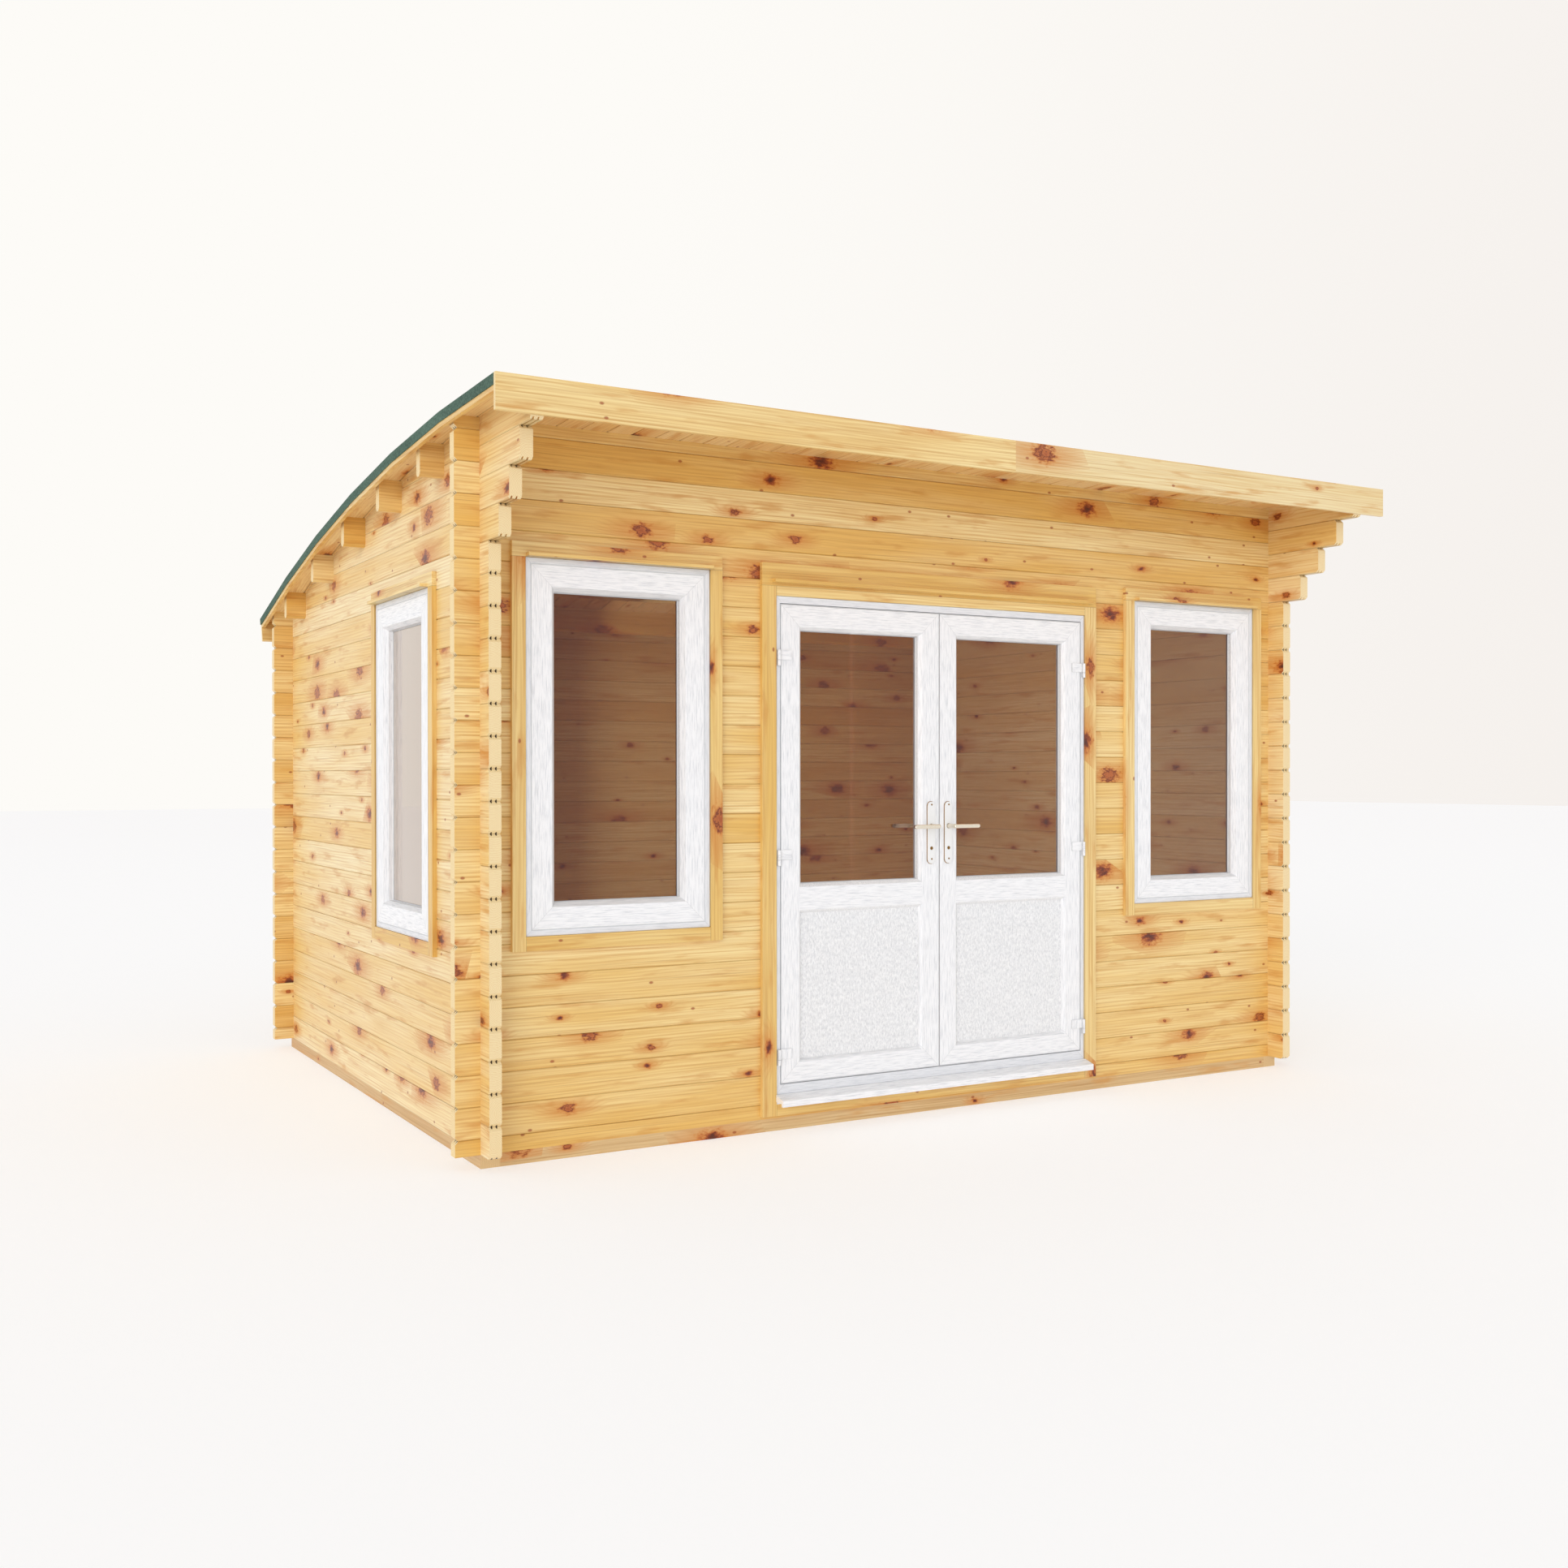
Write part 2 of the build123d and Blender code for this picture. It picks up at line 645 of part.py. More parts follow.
def backplates(side):
    """Outside and inside backplates, each bored for the lever's neck and for the key."""
    with BuildPart() as plates:
        for outward in (1, -1):
            plane = leaf_face if outward > 0 else leaf_face.offset(-leaf_depth)
            with BuildSketch(plane):
                with Locations((side * handle_inset, handle_height + (plate_top - plate_bottom) / 2)):
                    add(rounded_bar(plate_top + plate_bottom, plate_width), rotation=90)
                for drop, radius in ((0, neck_radius + neck_gap), (keyhole_drop, keyhole_radius)):
                    with Locations((side * handle_inset, handle_height - drop)):
                        RegularPolygon(radius, bore_flats, major_radius=False, mode=Mode.SUBTRACT)
            extrude(amount=outward * plate_thickness)
    return plates.part


def lever(side):
    """A lever on each face of a leaf, with the necks and the square spindle that join them."""
    x = side * handle_inset
    bar_middle = x + side * (lever_length - lever_height / 2) / 2
    bar_back = lever_stand_off - lever_depth / 2
    with BuildPart() as handle:
        for outward in (1, -1):
            plane = leaf_face if outward > 0 else leaf_face.offset(-leaf_depth)
            with BuildSketch(plane.offset(outward * bar_back)):
                with Locations((bar_middle, handle_height)):
                    add(rounded_bar(lever_length + lever_height / 2, lever_height))
            extrude(amount=outward * lever_depth)
            front_edges = handle.faces().sort_by(Axis.Y)[0 if outward > 0 else -1].edges()
            chamfer(front_edges, lever_chamfer)
            with BuildSketch(plane.offset(outward * neck_gap)):
                with Locations((x, handle_height)):
                    RegularPolygon(neck_radius, bore_flats)
            extrude(amount=outward * (bar_back - neck_gap))
        with BuildSketch(leaf_face.offset(neck_gap)):
            with Locations((x, handle_height)):
                Rectangle(spindle_size, spindle_size)
        extrude(amount=-leaf_depth - 2 * neck_gap)
    return handle.part


for side, name in ((-1, "left"), (1, "right")):
    save(door_leaf(side), f"{name}_door_leaf")
    for heights, kind in ((panel_heights, "panel"), (glass_heights, "glass")):
        light = leaf_light(side, heights)
        save(pane_sheet(leaf_face, *light, rail_bevel, rail_bevel_depth), f"{name}_door_{kind}")
    save(backplates(side), f"{name}_door_backplates")
    save(lever(side), f"{name}_door_lever")


# Windows
def casement(wall_plane, middle_x, bottom, name):
    """A casement window: frame, sash, glass and timber trim, on a plane that faces out of its wall."""
    middle = (middle_x, bottom + window_height / 2)
    sash_width = window_width - 2 * (window_frame_face + window_gap)
    sash_height = window_height - 2 * (window_frame_face + window_gap)
    light = (middle, sash_width - 2 * sash_face, sash_height - 2 * sash_face)
    face = wall_plane.offset(frame_proud)
    with BuildPart() as frame:
        with BuildSketch(face):
            with Locations(middle):
                Rectangle(window_width, window_height)
                Rectangle(sash_width + 2 * window_gap, sash_height + 2 * window_gap, mode=Mode.SUBTRACT)
        extrude(amount=-sash_depth)
        with BuildSketch(face.offset(-sash_depth)):
            with Locations(middle):
                Rectangle(window_width, window_height)
                Rectangle(sash_width - 2 * stop_width, sash_height - 2 * stop_width, mode=Mode.SUBTRACT)
        extrude(amount=sash_depth - window_frame_depth)
    save(frame.part, f"{name}_frame")
    with BuildPart() as sash:
        with BuildSketch(face):
            with Locations(middle):
                Rectangle(sash_width, sash_height)
        extrude(amount=-sash_depth)
        add(bevelled_hole(face, *light, sash_bevel, sash_bevel_depth, sash_depth), mode=Mode.SUBTRACT)
    save(sash.part, f"{name}_sash")
    save(pane_sheet(face, *light, sash_bevel, sash_bevel_depth), f"{name}_glass")
    inner_width = window_width + 2 * fit_gap
    upright_height = window_height + 2 * fit_gap + trim_width
    low = bottom - fit_gap - trim_width
    with BuildPart() as trim:
        for side in (-1, 1):
            x = middle_x + side * (inner_width + trim_width) / 2
            add(trim_board(wall_plane, x, low, trim_width, upright_height))
        add(trim_board(wall_plane, middle_x, low, inner_width, trim_width))
        add(trim_board(wall_plane, middle_x, low + upright_height, inner_width + 2 * trim_width, window_head))
        add(trim_board(wall_plane, middle_x, low + upright_height, window_width, drip_height, drip_reach))
    save(trim.part, f"{name}_trim")


left_side = Plane(origin=(-wall_x, 0, 0), x_dir=(0, -1, 0), z_dir=(-1, 0, 0))
casement(front, -front_window_x, front_window_bottom, "left_front_window")
casement(front, front_window_x, front_window_bottom, "right_front_window")
casement(left_side, -side_window_y, side_window_bottom, "left_side_window")
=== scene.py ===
"""Looks of a log cabin with an arched lean-to roof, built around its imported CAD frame.

Everything is in metres: +X runs right along the front wall, +Y to the rear and +Z up, with the
origin on the ground under the middle of the walls. Each sub-assembly of the cabin is a class that
holds its sizes, builds its pieces and dresses its CAD nodes; each surface is a finish.
"""
import logging
import math
from dataclasses import dataclass
from enum import Enum
from functools import partial

import bmesh
import bpy
from mathutils import Matrix, Vector


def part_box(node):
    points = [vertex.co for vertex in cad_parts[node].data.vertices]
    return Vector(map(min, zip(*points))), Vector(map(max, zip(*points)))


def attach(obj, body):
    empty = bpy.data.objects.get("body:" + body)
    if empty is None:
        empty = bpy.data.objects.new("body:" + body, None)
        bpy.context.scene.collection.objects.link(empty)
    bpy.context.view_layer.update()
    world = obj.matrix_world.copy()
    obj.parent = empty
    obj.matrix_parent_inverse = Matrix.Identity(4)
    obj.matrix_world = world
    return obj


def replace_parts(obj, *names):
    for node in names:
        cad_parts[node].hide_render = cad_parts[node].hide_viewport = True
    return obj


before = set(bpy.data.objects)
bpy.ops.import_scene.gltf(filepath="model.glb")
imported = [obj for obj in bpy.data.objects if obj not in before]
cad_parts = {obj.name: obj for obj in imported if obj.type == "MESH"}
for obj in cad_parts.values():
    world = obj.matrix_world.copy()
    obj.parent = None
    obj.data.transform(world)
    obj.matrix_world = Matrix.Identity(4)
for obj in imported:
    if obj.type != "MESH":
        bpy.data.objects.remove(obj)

LOG = logging.getLogger("cabin")
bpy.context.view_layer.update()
MM = 0.001
EDGES_BEVEL = {"affect": "EDGES", "segments": 1, "profile": 0.5, "material": -1}
FAR_MM = 1e4                # half a size so large that no mitre is drawn
PVC_IOR = 1.53
STAIN_COAT = 0.22           # how much the clear stain shines over planed pine
STAIN_ROUGHNESS = 0.3
FRAME_WHITE = "#ebecee"     # the fixed frames look a little greyer than the sashes and leaves


class Axis(Enum):
    """A direction of the cabin, by its place in a coordinate."""

    X = 0
    Y = 1
    Z = 2


class Side(Enum):
    """A door leaf, with its direction from the meeting line."""

    LEFT = -1
    RIGHT = 1

    @property
    def word(self) -> str:
        """The side's word in the names of the CAD nodes."""
        return self.name.lower()


def linear(hex_colour: str) -> tuple[float, float, float, float]:
    """Turn an sRGB hex colour into linear RGBA.

    Args:
        hex_colour: six hex digits after a hash sign.

    Returns:
        Linear red, green and blue, and an alpha of 1.
    """
    parts = [int(hex_colour[i:i + 2], 16) / 255 for i in (1, 3, 5)]
    return (*(c / 12.92 if c <= 0.04045 else ((c + 0.055) / 1.055) ** 2.4 for c in parts), 1.0)


def scale_for(*sizes_mm: float) -> tuple[float, ...]:
    """Turn the sizes of a pattern into the scale that draws it.

    Args:
        sizes_mm: its size each way.

    Returns:
        What a place in metres is multiplied by.
    """
    return tuple(1 / (size * MM) for size in sizes_mm)


def set_inputs(tree: bpy.types.NodeTree, node: bpy.types.Node, inputs: dict) -> None:
    """Set or link inputs of a node.

    Args:
        tree: the node's tree.
        node: the node.
        inputs: for each input, by name or number, a value, a socket, or a node whose first output is meant.
    """
    for key, value in inputs.items():
        source = value.outputs[0] if isinstance(value, bpy.types.Node) else value
        if isinstance(source, bpy.types.NodeSocket):
            tree.links.new(source, node.inputs[key])
        else:
            node.inputs[key].default_value = source


def add_node(tree: bpy.types.NodeTree, kind: str, inputs: dict | None = None,
             **settings: object) -> bpy.types.Node:
    """Add a node with its settings, its input values and its links.

    Args:
        tree: the node tree that takes it.
        kind: the node's type, without its ShaderNode prefix.
        inputs: what its inputs get, as in set_inputs.
        settings: properties of the node, such as operation.

    Returns:
        The node.
    """
    node = tree.nodes.new(kind if kind.startswith("Node") else "ShaderNode" + kind)
    for name, value in settings.items():
        setattr(node, name, value)
    set_inputs(tree, node, inputs or {})
    return node


def set_ramp(ramp: bpy.types.Node, stops: list[tuple[float, str, float]]) -> None:
    """Give a colour ramp its stops.

    Args:
        ramp: the colour ramp node.
        stops: position, sRGB hex colour and alpha of each stop.
    """
    elements = ramp.color_ramp.elements
    while len(elements) < len(stops):
        elements.new(1.0)
    for element, (position, colour, alpha) in zip(elements, stops):
        element.position = position
        element.color = (*linear(colour)[:3], alpha)


# Finishes


@dataclass(frozen=True)
class Finish:
    """A surface. Each kind paints the nodes of its own material."""

    name: str

    def material(self) -> bpy.types.Material:
        """Return the finish's material, which is made on first use."""
        found = bpy.data.materials.get(self.name)
        if found:
            return found
        material = bpy.data.materials.new(self.name)
        material.use_nodes = True
        tree = material.node_tree
        set_inputs(tree, tree.nodes["Principled BSDF"], self.paint(partial(add_node, tree)))
        return material

    def paint(self, add: partial) -> dict:
        """Build the nodes of the finish.

        Args:
            add: adds a node to the material's tree.

        Returns:
            What the inputs of the material's shader get, as in set_inputs.
        """
        raise NotImplementedError


@dataclass(frozen=True)
class PineGrain:
    """The figure of slow-grown pine, flat sawn, with live and dead knots and orange resin round them.

    The grain is drawn coarser than the real 2 to 4 mm, because that is too fine to show in the render.
    """

    streak_mm: float = 8.0
    streak_run_mm: float = 520.0
    line_mm: float = 4.5
    line_run_mm: float = 800.0
    band_mm: float = 13.0
    cloud_mm: float = 110.0
    cloud_run_mm: float = 900.0
    ring_mm: float = 5.0
    knot_gap_mm: float = 280.0
    knot_stretch: float = 1.3
    smallest_knot_mm: float = 5.0
    largest_knot_mm: float = 27.0
    knot_share: float = 0.78
    dark_knot_share: float = 0.55
    knot_edge_mm: tuple[float, float] = (26.0, 13.0)
    resin_mm: float = 40.0
    resin_run_mm: float = 240.0
    pin_gap_mm: float = 110.0
    pin_mm: float = 2.8
    pin_share: float = 0.2
    halo_reach: float = 3.6
    log_middle_mm: float = 55.0
    log_half_depth_mm: float = 22.0

    def group(self) -> bpy.types.NodeTree:
        """Return the shared node group, made on first use.

        Returns:
            A group from a place on a board to its colour, roughness and height.
        """
        found = bpy.data.node_groups.get("pine_grain")
        if found:
            return found
        tree = bpy.data.node_groups.new("pine_grain", "ShaderNodeTree")
        for name in ("Along", "Across", "Depth", "Board", "End"):
            tree.interface.new_socket(name=name, in_out="INPUT", socket_type="NodeSocketFloat")
        for name in ("Pale", "Honey", "Late"):
            tree.interface.new_socket(name=name, in_out="INPUT", socket_type="NodeSocketColor")
        tree.interface.new_socket(name="Color", in_out="OUTPUT", socket_type="NodeSocketColor")
        tree.interface.new_socket(name="Roughness", in_out="OUTPUT", socket_type="NodeSocketFloat")
        tree.interface.new_socket(name="Height", in_out="OUTPUT", socket_type="NodeSocketFloat")
        self.draw(partial(add_node, tree))
        return tree

    def draw(self, add: partial) -> None:
        """Fill the group.

        Args:
            add: adds a node to the group's tree.
        """
        given = add("NodeGroupInput").outputs
        luck = add("TexWhiteNoise", {"W": given["Board"]}, noise_dimensions="1D")
        lucks = add("SeparateColor", {"Color": luck.outputs["Color"]}).outputs
        shifted = add("Math", {0: luck.outputs["Value"], 1: 40.0, 2: given["Along"]}, operation="MULTIPLY_ADD")
        here = add("CombineXYZ", {"X": shifted, "Y": given["Across"], "Z": given["Depth"]})

        streak_scale = scale_for(self.streak_run_mm, self.streak_mm, self.streak_mm * 3)
        streak_at = add("VectorMath", {0: here, 1: streak_scale}, operation="MULTIPLY")
        streak = add("TexNoise", {"Vector": streak_at, "Scale": 1.0, "Detail": 3.0, "Roughness": 0.6})
        cloud_scale = scale_for(self.cloud_run_mm, self.cloud_mm, self.cloud_mm)
        cloud_at = add("VectorMath", {0: here, 1: cloud_scale}, operation="MULTIPLY")
        cloud = add("TexNoise", {"Vector": cloud_at, "Scale": 1.0, "Detail": 2.0, "Roughness": 0.5})

        # Knots: one random point in each cell, which is about two and a half logs high, so that they are few
        gap = self.knot_gap_mm * MM
        row_start = add("Math", {0: given["Board"], 1: 10.0}, operation="MULTIPLY")
        row = add("Math", {0: given["Across"], 1: 1 / gap, 2: row_start}, operation="MULTIPLY_ADD")
        column = add("Math", {0: shifted, 1: 1 / (gap * self.knot_stretch)}, operation="MULTIPLY")
        cell_at = add("CombineXYZ", {"X": column, "Y": row})
        knot = add("TexVoronoi", {"Vector": cell_at, "Scale": 1.0}, voronoi_dimensions="2D")
        knot_lucks = add("SeparateColor", {"Color": knot.outputs["Color"]}).outputs
        squared = add("Math", {0: knot_lucks["Red"], 1: 1.6}, operation="POWER")
        radius = add("MapRange", {
            "Value": squared,
            "To Min": self.smallest_knot_mm * MM / gap, "To Max": self.largest_knot_mm * MM / gap,
        })
        there = add("Math", {0: knot_lucks["Green"], 1: self.knot_share}, operation="LESS_THAN")
        away = add("VectorMath", {0: cell_at, 1: knot.outputs["Position"]}, operation="SUBTRACT")
        oval = add("VectorMath", {0: away, 1: (0.8, 1.0, 1.0)}, operation="MULTIPLY")
        distance = add("VectorMath", {0: oval}, operation="LENGTH").outputs["Value"]
        radii = add("Math", {0: distance, 1: radius}, operation="DIVIDE")
        edge_along, edge_across = (1 / (size * MM) for size in self.knot_edge_mm)
        edge_at = add("VectorMath", {0: here, 1: (edge_along, edge_across, edge_across)}, operation="MULTIPLY")
        edge = add("TexNoise", {"Vector": edge_at, "Scale": 1.0, "Detail": 2.0, "Roughness": 0.6})
        rough_edge = add("Math", {0: edge, 1: 2.8, 2: -1.4}, operation="MULTIPLY_ADD")
        radii_rough = add("Math", {0: radii, 1: rough_edge}, operation="ADD")
        drawn_out = add("VectorMath", {0: away, 1: (0.42, 1.0, 1.0)}, operation="MULTIPLY")
        halo_distance = add("VectorMath", {0: drawn_out}, operation="LENGTH").outputs["Value"]
        halo_radii = add("Math", {0: halo_distance, 1: radius}, operation="DIVIDE")
        halo_full = add("MapRange", {
            "Value": halo_radii, "From Min": 0.7, "From Max": self.halo_reach, "To Min": 1.0, "To Max": 0.0,
        }, interpolation_type="SMOOTHSTEP")
        halo = add("Math", {0: halo_full, 1: there}, operation="MULTIPLY")

        # Bands of late wood run along the board and bend round the knots
        spread = add("Math", {0: given["Across"], 1: 1 / (self.band_mm * MM)}, operation="MULTIPLY")
        bent = add("Math", {0: cloud, 1: 5.0, 2: spread}, operation="MULTIPLY_ADD")
        flowing = add("Math", {0: halo, 1: 2.4, 2: bent}, operation="MULTIPLY_ADD")
        wave = add("Math", {0: flowing, 1: 0.5}, operation="PINGPONG")
        band = add("MapRange", {"Value": wave, "From Min": 0.0, "From Max": 0.32, "To Min": 1.0, "To Max": 0.0})

        # Colour: the tone of the board, then clouds, bands, streaks, resin and knots
        tone = add("Math", {0: cloud, 1: 1.7, 2: -0.8}, operation="MULTIPLY_ADD")
        tones = add("Math", {0: lucks["Green"], 1: 0.95, 2: tone}, operation="MULTIPLY_ADD", use_clamp=True)
        ground = add("Mix", {0: tones, 6: given["Pale"], 7: given["Honey"]}, data_type="RGBA")
        band_share = add("Math", {0: band, 1: 0.26}, operation="MULTIPLY")
        streaked = add("MapRange", {
            "Value": streak, "From Min": 0.44, "From Max": 0.7, "To Min": 0.0, "To Max": 0.55,
        })
        dark_share = add("Math", {0: band_share, 1: streaked}, operation="ADD", use_clamp=True)
        grained = add("Mix", {0: dark_share, 6: ground.outputs[2], 7: given["Late"]}, data_type="RGBA")
        line_at = add("VectorMath", {0: here, 1: scale_for(self.line_run_mm, self.line_mm, self.line_mm)},
                      operation="MULTIPLY")
        line = add("TexNoise", {"Vector": line_at, "Scale": 1.0, "Detail": 1.0})
        line_share = add("MapRange", {
            "Value": line, "From Min": 0.62, "From Max": 0.74, "To Min": 0.0, "To Max": 0.5,
        })
        lined = add("Mix", {0: line_share, 6: grained.outputs[2], 7: linear("#b9833f")}, data_type="RGBA")
        resin_scale = scale_for(self.resin_run_mm, self.resin_mm, self.resin_mm)
        resin_at = add("VectorMath", {0: here, 1: resin_scale}, operation="MULTIPLY")
        resin = add("TexNoise", {"Vector": resin_at, "Scale": 1.0, "Detail": 3.0})
        resin_share = add("MapRange", {
            "Value": resin, "From Min": 0.54, "From Max": 0.72, "To Min": 0.0, "To Max": 0.6,
        }, interpolation_type="SMOOTHSTEP")
        resined = add("Mix", {0: resin_share, 6: lined.outputs[2], 7: linear("#d0903c")}, data_type="RGBA")
        halo_streaks = add("Math", {0: streak, 1: 0.8, 2: 0.25}, operation="MULTIPLY_ADD")
        halo_share = add("Math", {0: halo, 1: halo_streaks}, operation="MULTIPLY")
        haloed = add("Mix", {0: halo_share, 6: resined.outputs[2], 7: linear("#d08534")}, data_type="RGBA")

        # A live knot has a dark ring and a paler heart, a dead one is dark all through
        heart_at = add("Math", {0: radii_rough, 1: 2.0}, operation="DIVIDE", use_clamp=True)
        live = add("ValToRGB", {0: heart_at})
        set_ramp(live, [
            (0.0, "#a34a18", 0.95), (0.24, "#b65d22", 0.9), (0.36, "#6f2906", 1.0),
            (0.48, "#9e470f", 0.9), (0.64, "#c8721f", 0.55), (0.88, "#d8903e", 0.0),
        ])
        dead = add("ValToRGB", {0: heart_at})
        set_ramp(dead, [
            (0.0, "#541b03", 1.0), (0.22, "#752b05", 1.0), (0.38, "#9a410c", 0.95),
            (0.55, "#be6218", 0.75), (0.78, "#d2852e", 0.35), (1.0, "#d8903e", 0.0),
        ])
        is_dead = add("Math", {0: knot_lucks["Blue"], 1: self.dark_knot_share}, operation="LESS_THAN")
        heart = add("Mix", {0: is_dead, 6: live, 7: dead}, data_type="RGBA")
        heart_alpha = add("Mix", {0: is_dead, 2: live.outputs["Alpha"], 3: dead.outputs["Alpha"]})
        heart_share = add("Math", {0: heart_alpha, 1: there}, operation="MULTIPLY")
        knotted = add("Mix", {0: heart_share, 6: haloed.outputs[2], 7: heart.outputs[2]}, data_type="RGBA")

        # Pin knots
        pin_gap = self.pin_gap_mm * MM
        pin_start = add("Math", {0: given["Board"], 1: 7.0}, operation="MULTIPLY")
        pin_row = add("Math", {0: given["Across"], 1: 1 / pin_gap, 2: pin_start}, operation="MULTIPLY_ADD")
        pin_column = add("Math", {0: shifted, 1: 0.6 / pin_gap}, operation="MULTIPLY")
        pin_at = add("CombineXYZ", {"X": pin_column, "Y": pin_row})
        pin = add("TexVoronoi", {"Vector": pin_at, "Scale": 1.0}, voronoi_dimensions="2D")
        pin_luck = add("SeparateColor", {"Color": pin.outputs["Color"]}).outputs["Red"]
        pin_there = add("Math", {0: pin_luck, 1: self.pin_share}, operation="LESS_THAN")
        pin_radius = self.pin_mm * MM / pin_gap
        pin_spot = add("MapRange", {
            "Value": pin, "From Min": pin_radius, "From Max": pin_radius * 2.4, "To Min": 0.8, "To Max": 0.0,
        }, interpolation_type="SMOOTHSTEP")
        pin_share = add("Math", {0: pin_spot, 1: pin_there}, operation="MULTIPLY")
        pinned = add("Mix", {0: pin_share, 6: knotted.outputs[2], 7: linear("#a04a18")}, data_type="RGBA")

        # End grain: rings about a pith that lies somewhere near each log
        pith_depth = add("Math", {0: lucks["Red"], 1: 0.06, 2: -0.03 - self.log_half_depth_mm * MM},
                         operation="MULTIPLY_ADD")
        pith_across = add("Math", {0: lucks["Blue"], 1: 0.2, 2: -0.1 - self.log_middle_mm * MM},
                          operation="MULTIPLY_ADD")
        ring_x = add("Math", {0: given["Depth"], 1: pith_depth}, operation="ADD")
        ring_y = add("Math", {0: given["Across"], 1: pith_across}, operation="ADD")
        ring_at = add("CombineXYZ", {"X": ring_x, "Y": ring_y})
        pith_distance = add("VectorMath", {0: ring_at}, operation="LENGTH").outputs["Value"]
        rings = add("Math", {0: pith_distance, 1: 1 / (self.ring_mm * MM), 2: streak}, operation="MULTIPLY_ADD")
        ring_wave = add("Math", {0: rings, 1: 0.5}, operation="PINGPONG")
        ring_share = add("Math", {0: ring_wave, 1: 0.9}, operation="MULTIPLY")
        end_pale = add("Mix", {0: 0.25, 6: given["Pale"], 7: linear("#f0d9a6")}, data_type="RGBA")
        end_grain = add("Mix", {0: ring_share, 6: end_pale.outputs[2], 7: given["Late"]}, data_type="RGBA")
        coloured = add("Mix", {0: given["End"], 6: pinned.outputs[2], 7: end_grain.outputs[2]}, data_type="RGBA")

        roughness = add("MapRange", {"Value": streak, "To Min": 0.34, "To Max": 0.52})
        sunk = add("Math", {0: heart_share, 1: -0.8, 2: streak}, operation="MULTIPLY_ADD")
        add("NodeGroupOutput", {"Color": coloured.outputs[2], "Roughness": roughness, "Height": sunk})


@dataclass(frozen=True)
class PlanedPine(Finish):
    """Planed pine under a thin clear stain: honey-coloured, satin, and every board or log its own tone."""

    along: Axis = Axis.X
    across: Axis = Axis.Z
    stack: Axis = Axis.Z
    pitch_mm: float = 5000.0
    start_mm: float = 0.0
    depth_mm: float = 0.0
    seed: float = 0.0
    pale: str = "#f8e0a2"
    honey: str = "#e4b45c"
    late: str = "#c99244"
    joint_shade: float = 1.0
    coat: float = STAIN_COAT
    relief_mm: float = 0.5
    grooves_mm: tuple[float, ...] = ()      # painted shade at the ends of the tongue grooves, from the log's first face
    groove_half_mm: tuple[float, float] = (3.2, 6.5)

    def paint(self, add: partial) -> dict:
        """Lay the grain along each board of a stack, with a darker line at each joint and painted shade at the
        groove ends.
        """
        place = add("TexCoord")
        at = add("SeparateXYZ", {0: place.outputs["Object"]}).outputs
        facing = add("SeparateXYZ", {0: place.outputs["Normal"]}).outputs
        from_start = add("Math", {0: at[self.stack.value], 1: self.start_mm * MM}, operation="SUBTRACT")
        boards = add("Math", {0: from_start, 1: self.pitch_mm * MM}, operation="DIVIDE")
        board = add("Math", {0: boards}, operation="FLOOR")
        seeded = add("Math", {0: board, 1: self.seed}, operation="ADD")
        if self.stack is self.across:
            low = add("Math", {0: board, 1: self.pitch_mm * MM}, operation="MULTIPLY")
            local = add("Math", {0: from_start, 1: low}, operation="SUBTRACT")
        else:
            local = at[self.across.value]
        depth_axis = 3 - self.along.value - self.across.value
        depth = add("Math", {0: at[depth_axis], 1: self.depth_mm * MM}, operation="SUBTRACT")
        steep = add("Math", {0: facing[self.along.value]}, operation="ABSOLUTE")
        end = add("Math", {0: steep, 1: 0.6}, operation="GREATER_THAN")
        grain = add("Group", {
            "Along": at[self.along.value], "Across": local, "Depth": depth, "Board": seeded, "End": end,
            "Pale": linear(self.pale), "Honey": linear(self.honey), "Late": linear(self.late),
        }, node_tree=PineGrain().group())
        to_joint = add("Math", {0: from_start, 1: self.pitch_mm * MM / 2}, operation="PINGPONG")
        joint = add("MapRange", {
            "Value": to_joint, "From Min": 0.0008, "From Max": 0.003, "To Min": self.joint_shade, "To Max": 1.0,
        })
        shaded = add("Mix", {0: 1.0, 6: grain.outputs["Color"], 7: joint},
                     data_type="RGBA", blend_type="MULTIPLY")
        bump = add("Bump", {
            "Strength": 0.35, "Distance": self.relief_mm * MM, "Height": grain.outputs["Height"],
        })
        surface = shaded.outputs[2]
        # Painted shade: a dark oval on each log end where a hollow tongue groove ends
        half_wide, half_high = self.groove_half_mm
        for groove in self.grooves_mm:
            beside = add("Math", {0: depth, 1: groove * MM}, operation="SUBTRACT")
            from_groove = add("CombineXYZ", {"X": beside, "Y": to_joint})
            oval = add("VectorMath", {0: from_groove, 1: (1 / (half_wide * MM), 1 / (half_high * MM), 0.0)},
                       operation="MULTIPLY")
            reach = add("VectorMath", {0: oval}, operation="LENGTH").outputs["Value"]
            groove_shade = add("MapRange", {
                "Value": reach, "From Min": 0.8, "From Max": 1.15, "To Min": 1.0, "To Max": 0.0,
            })
            shown = add("Math", {0: groove_shade, 1: end}, operation="MULTIPLY")
            surface = add("Mix", {0: shown, 6: surface, 7: linear("#33200f")}, data_type="RGBA").outputs[2]
        return {"Base Color": surface, "Roughness": grain.outputs["Roughness"], "Normal": bump,
                "Coat Weight": self.coat, "Coat Roughness": STAIN_ROUGHNESS}


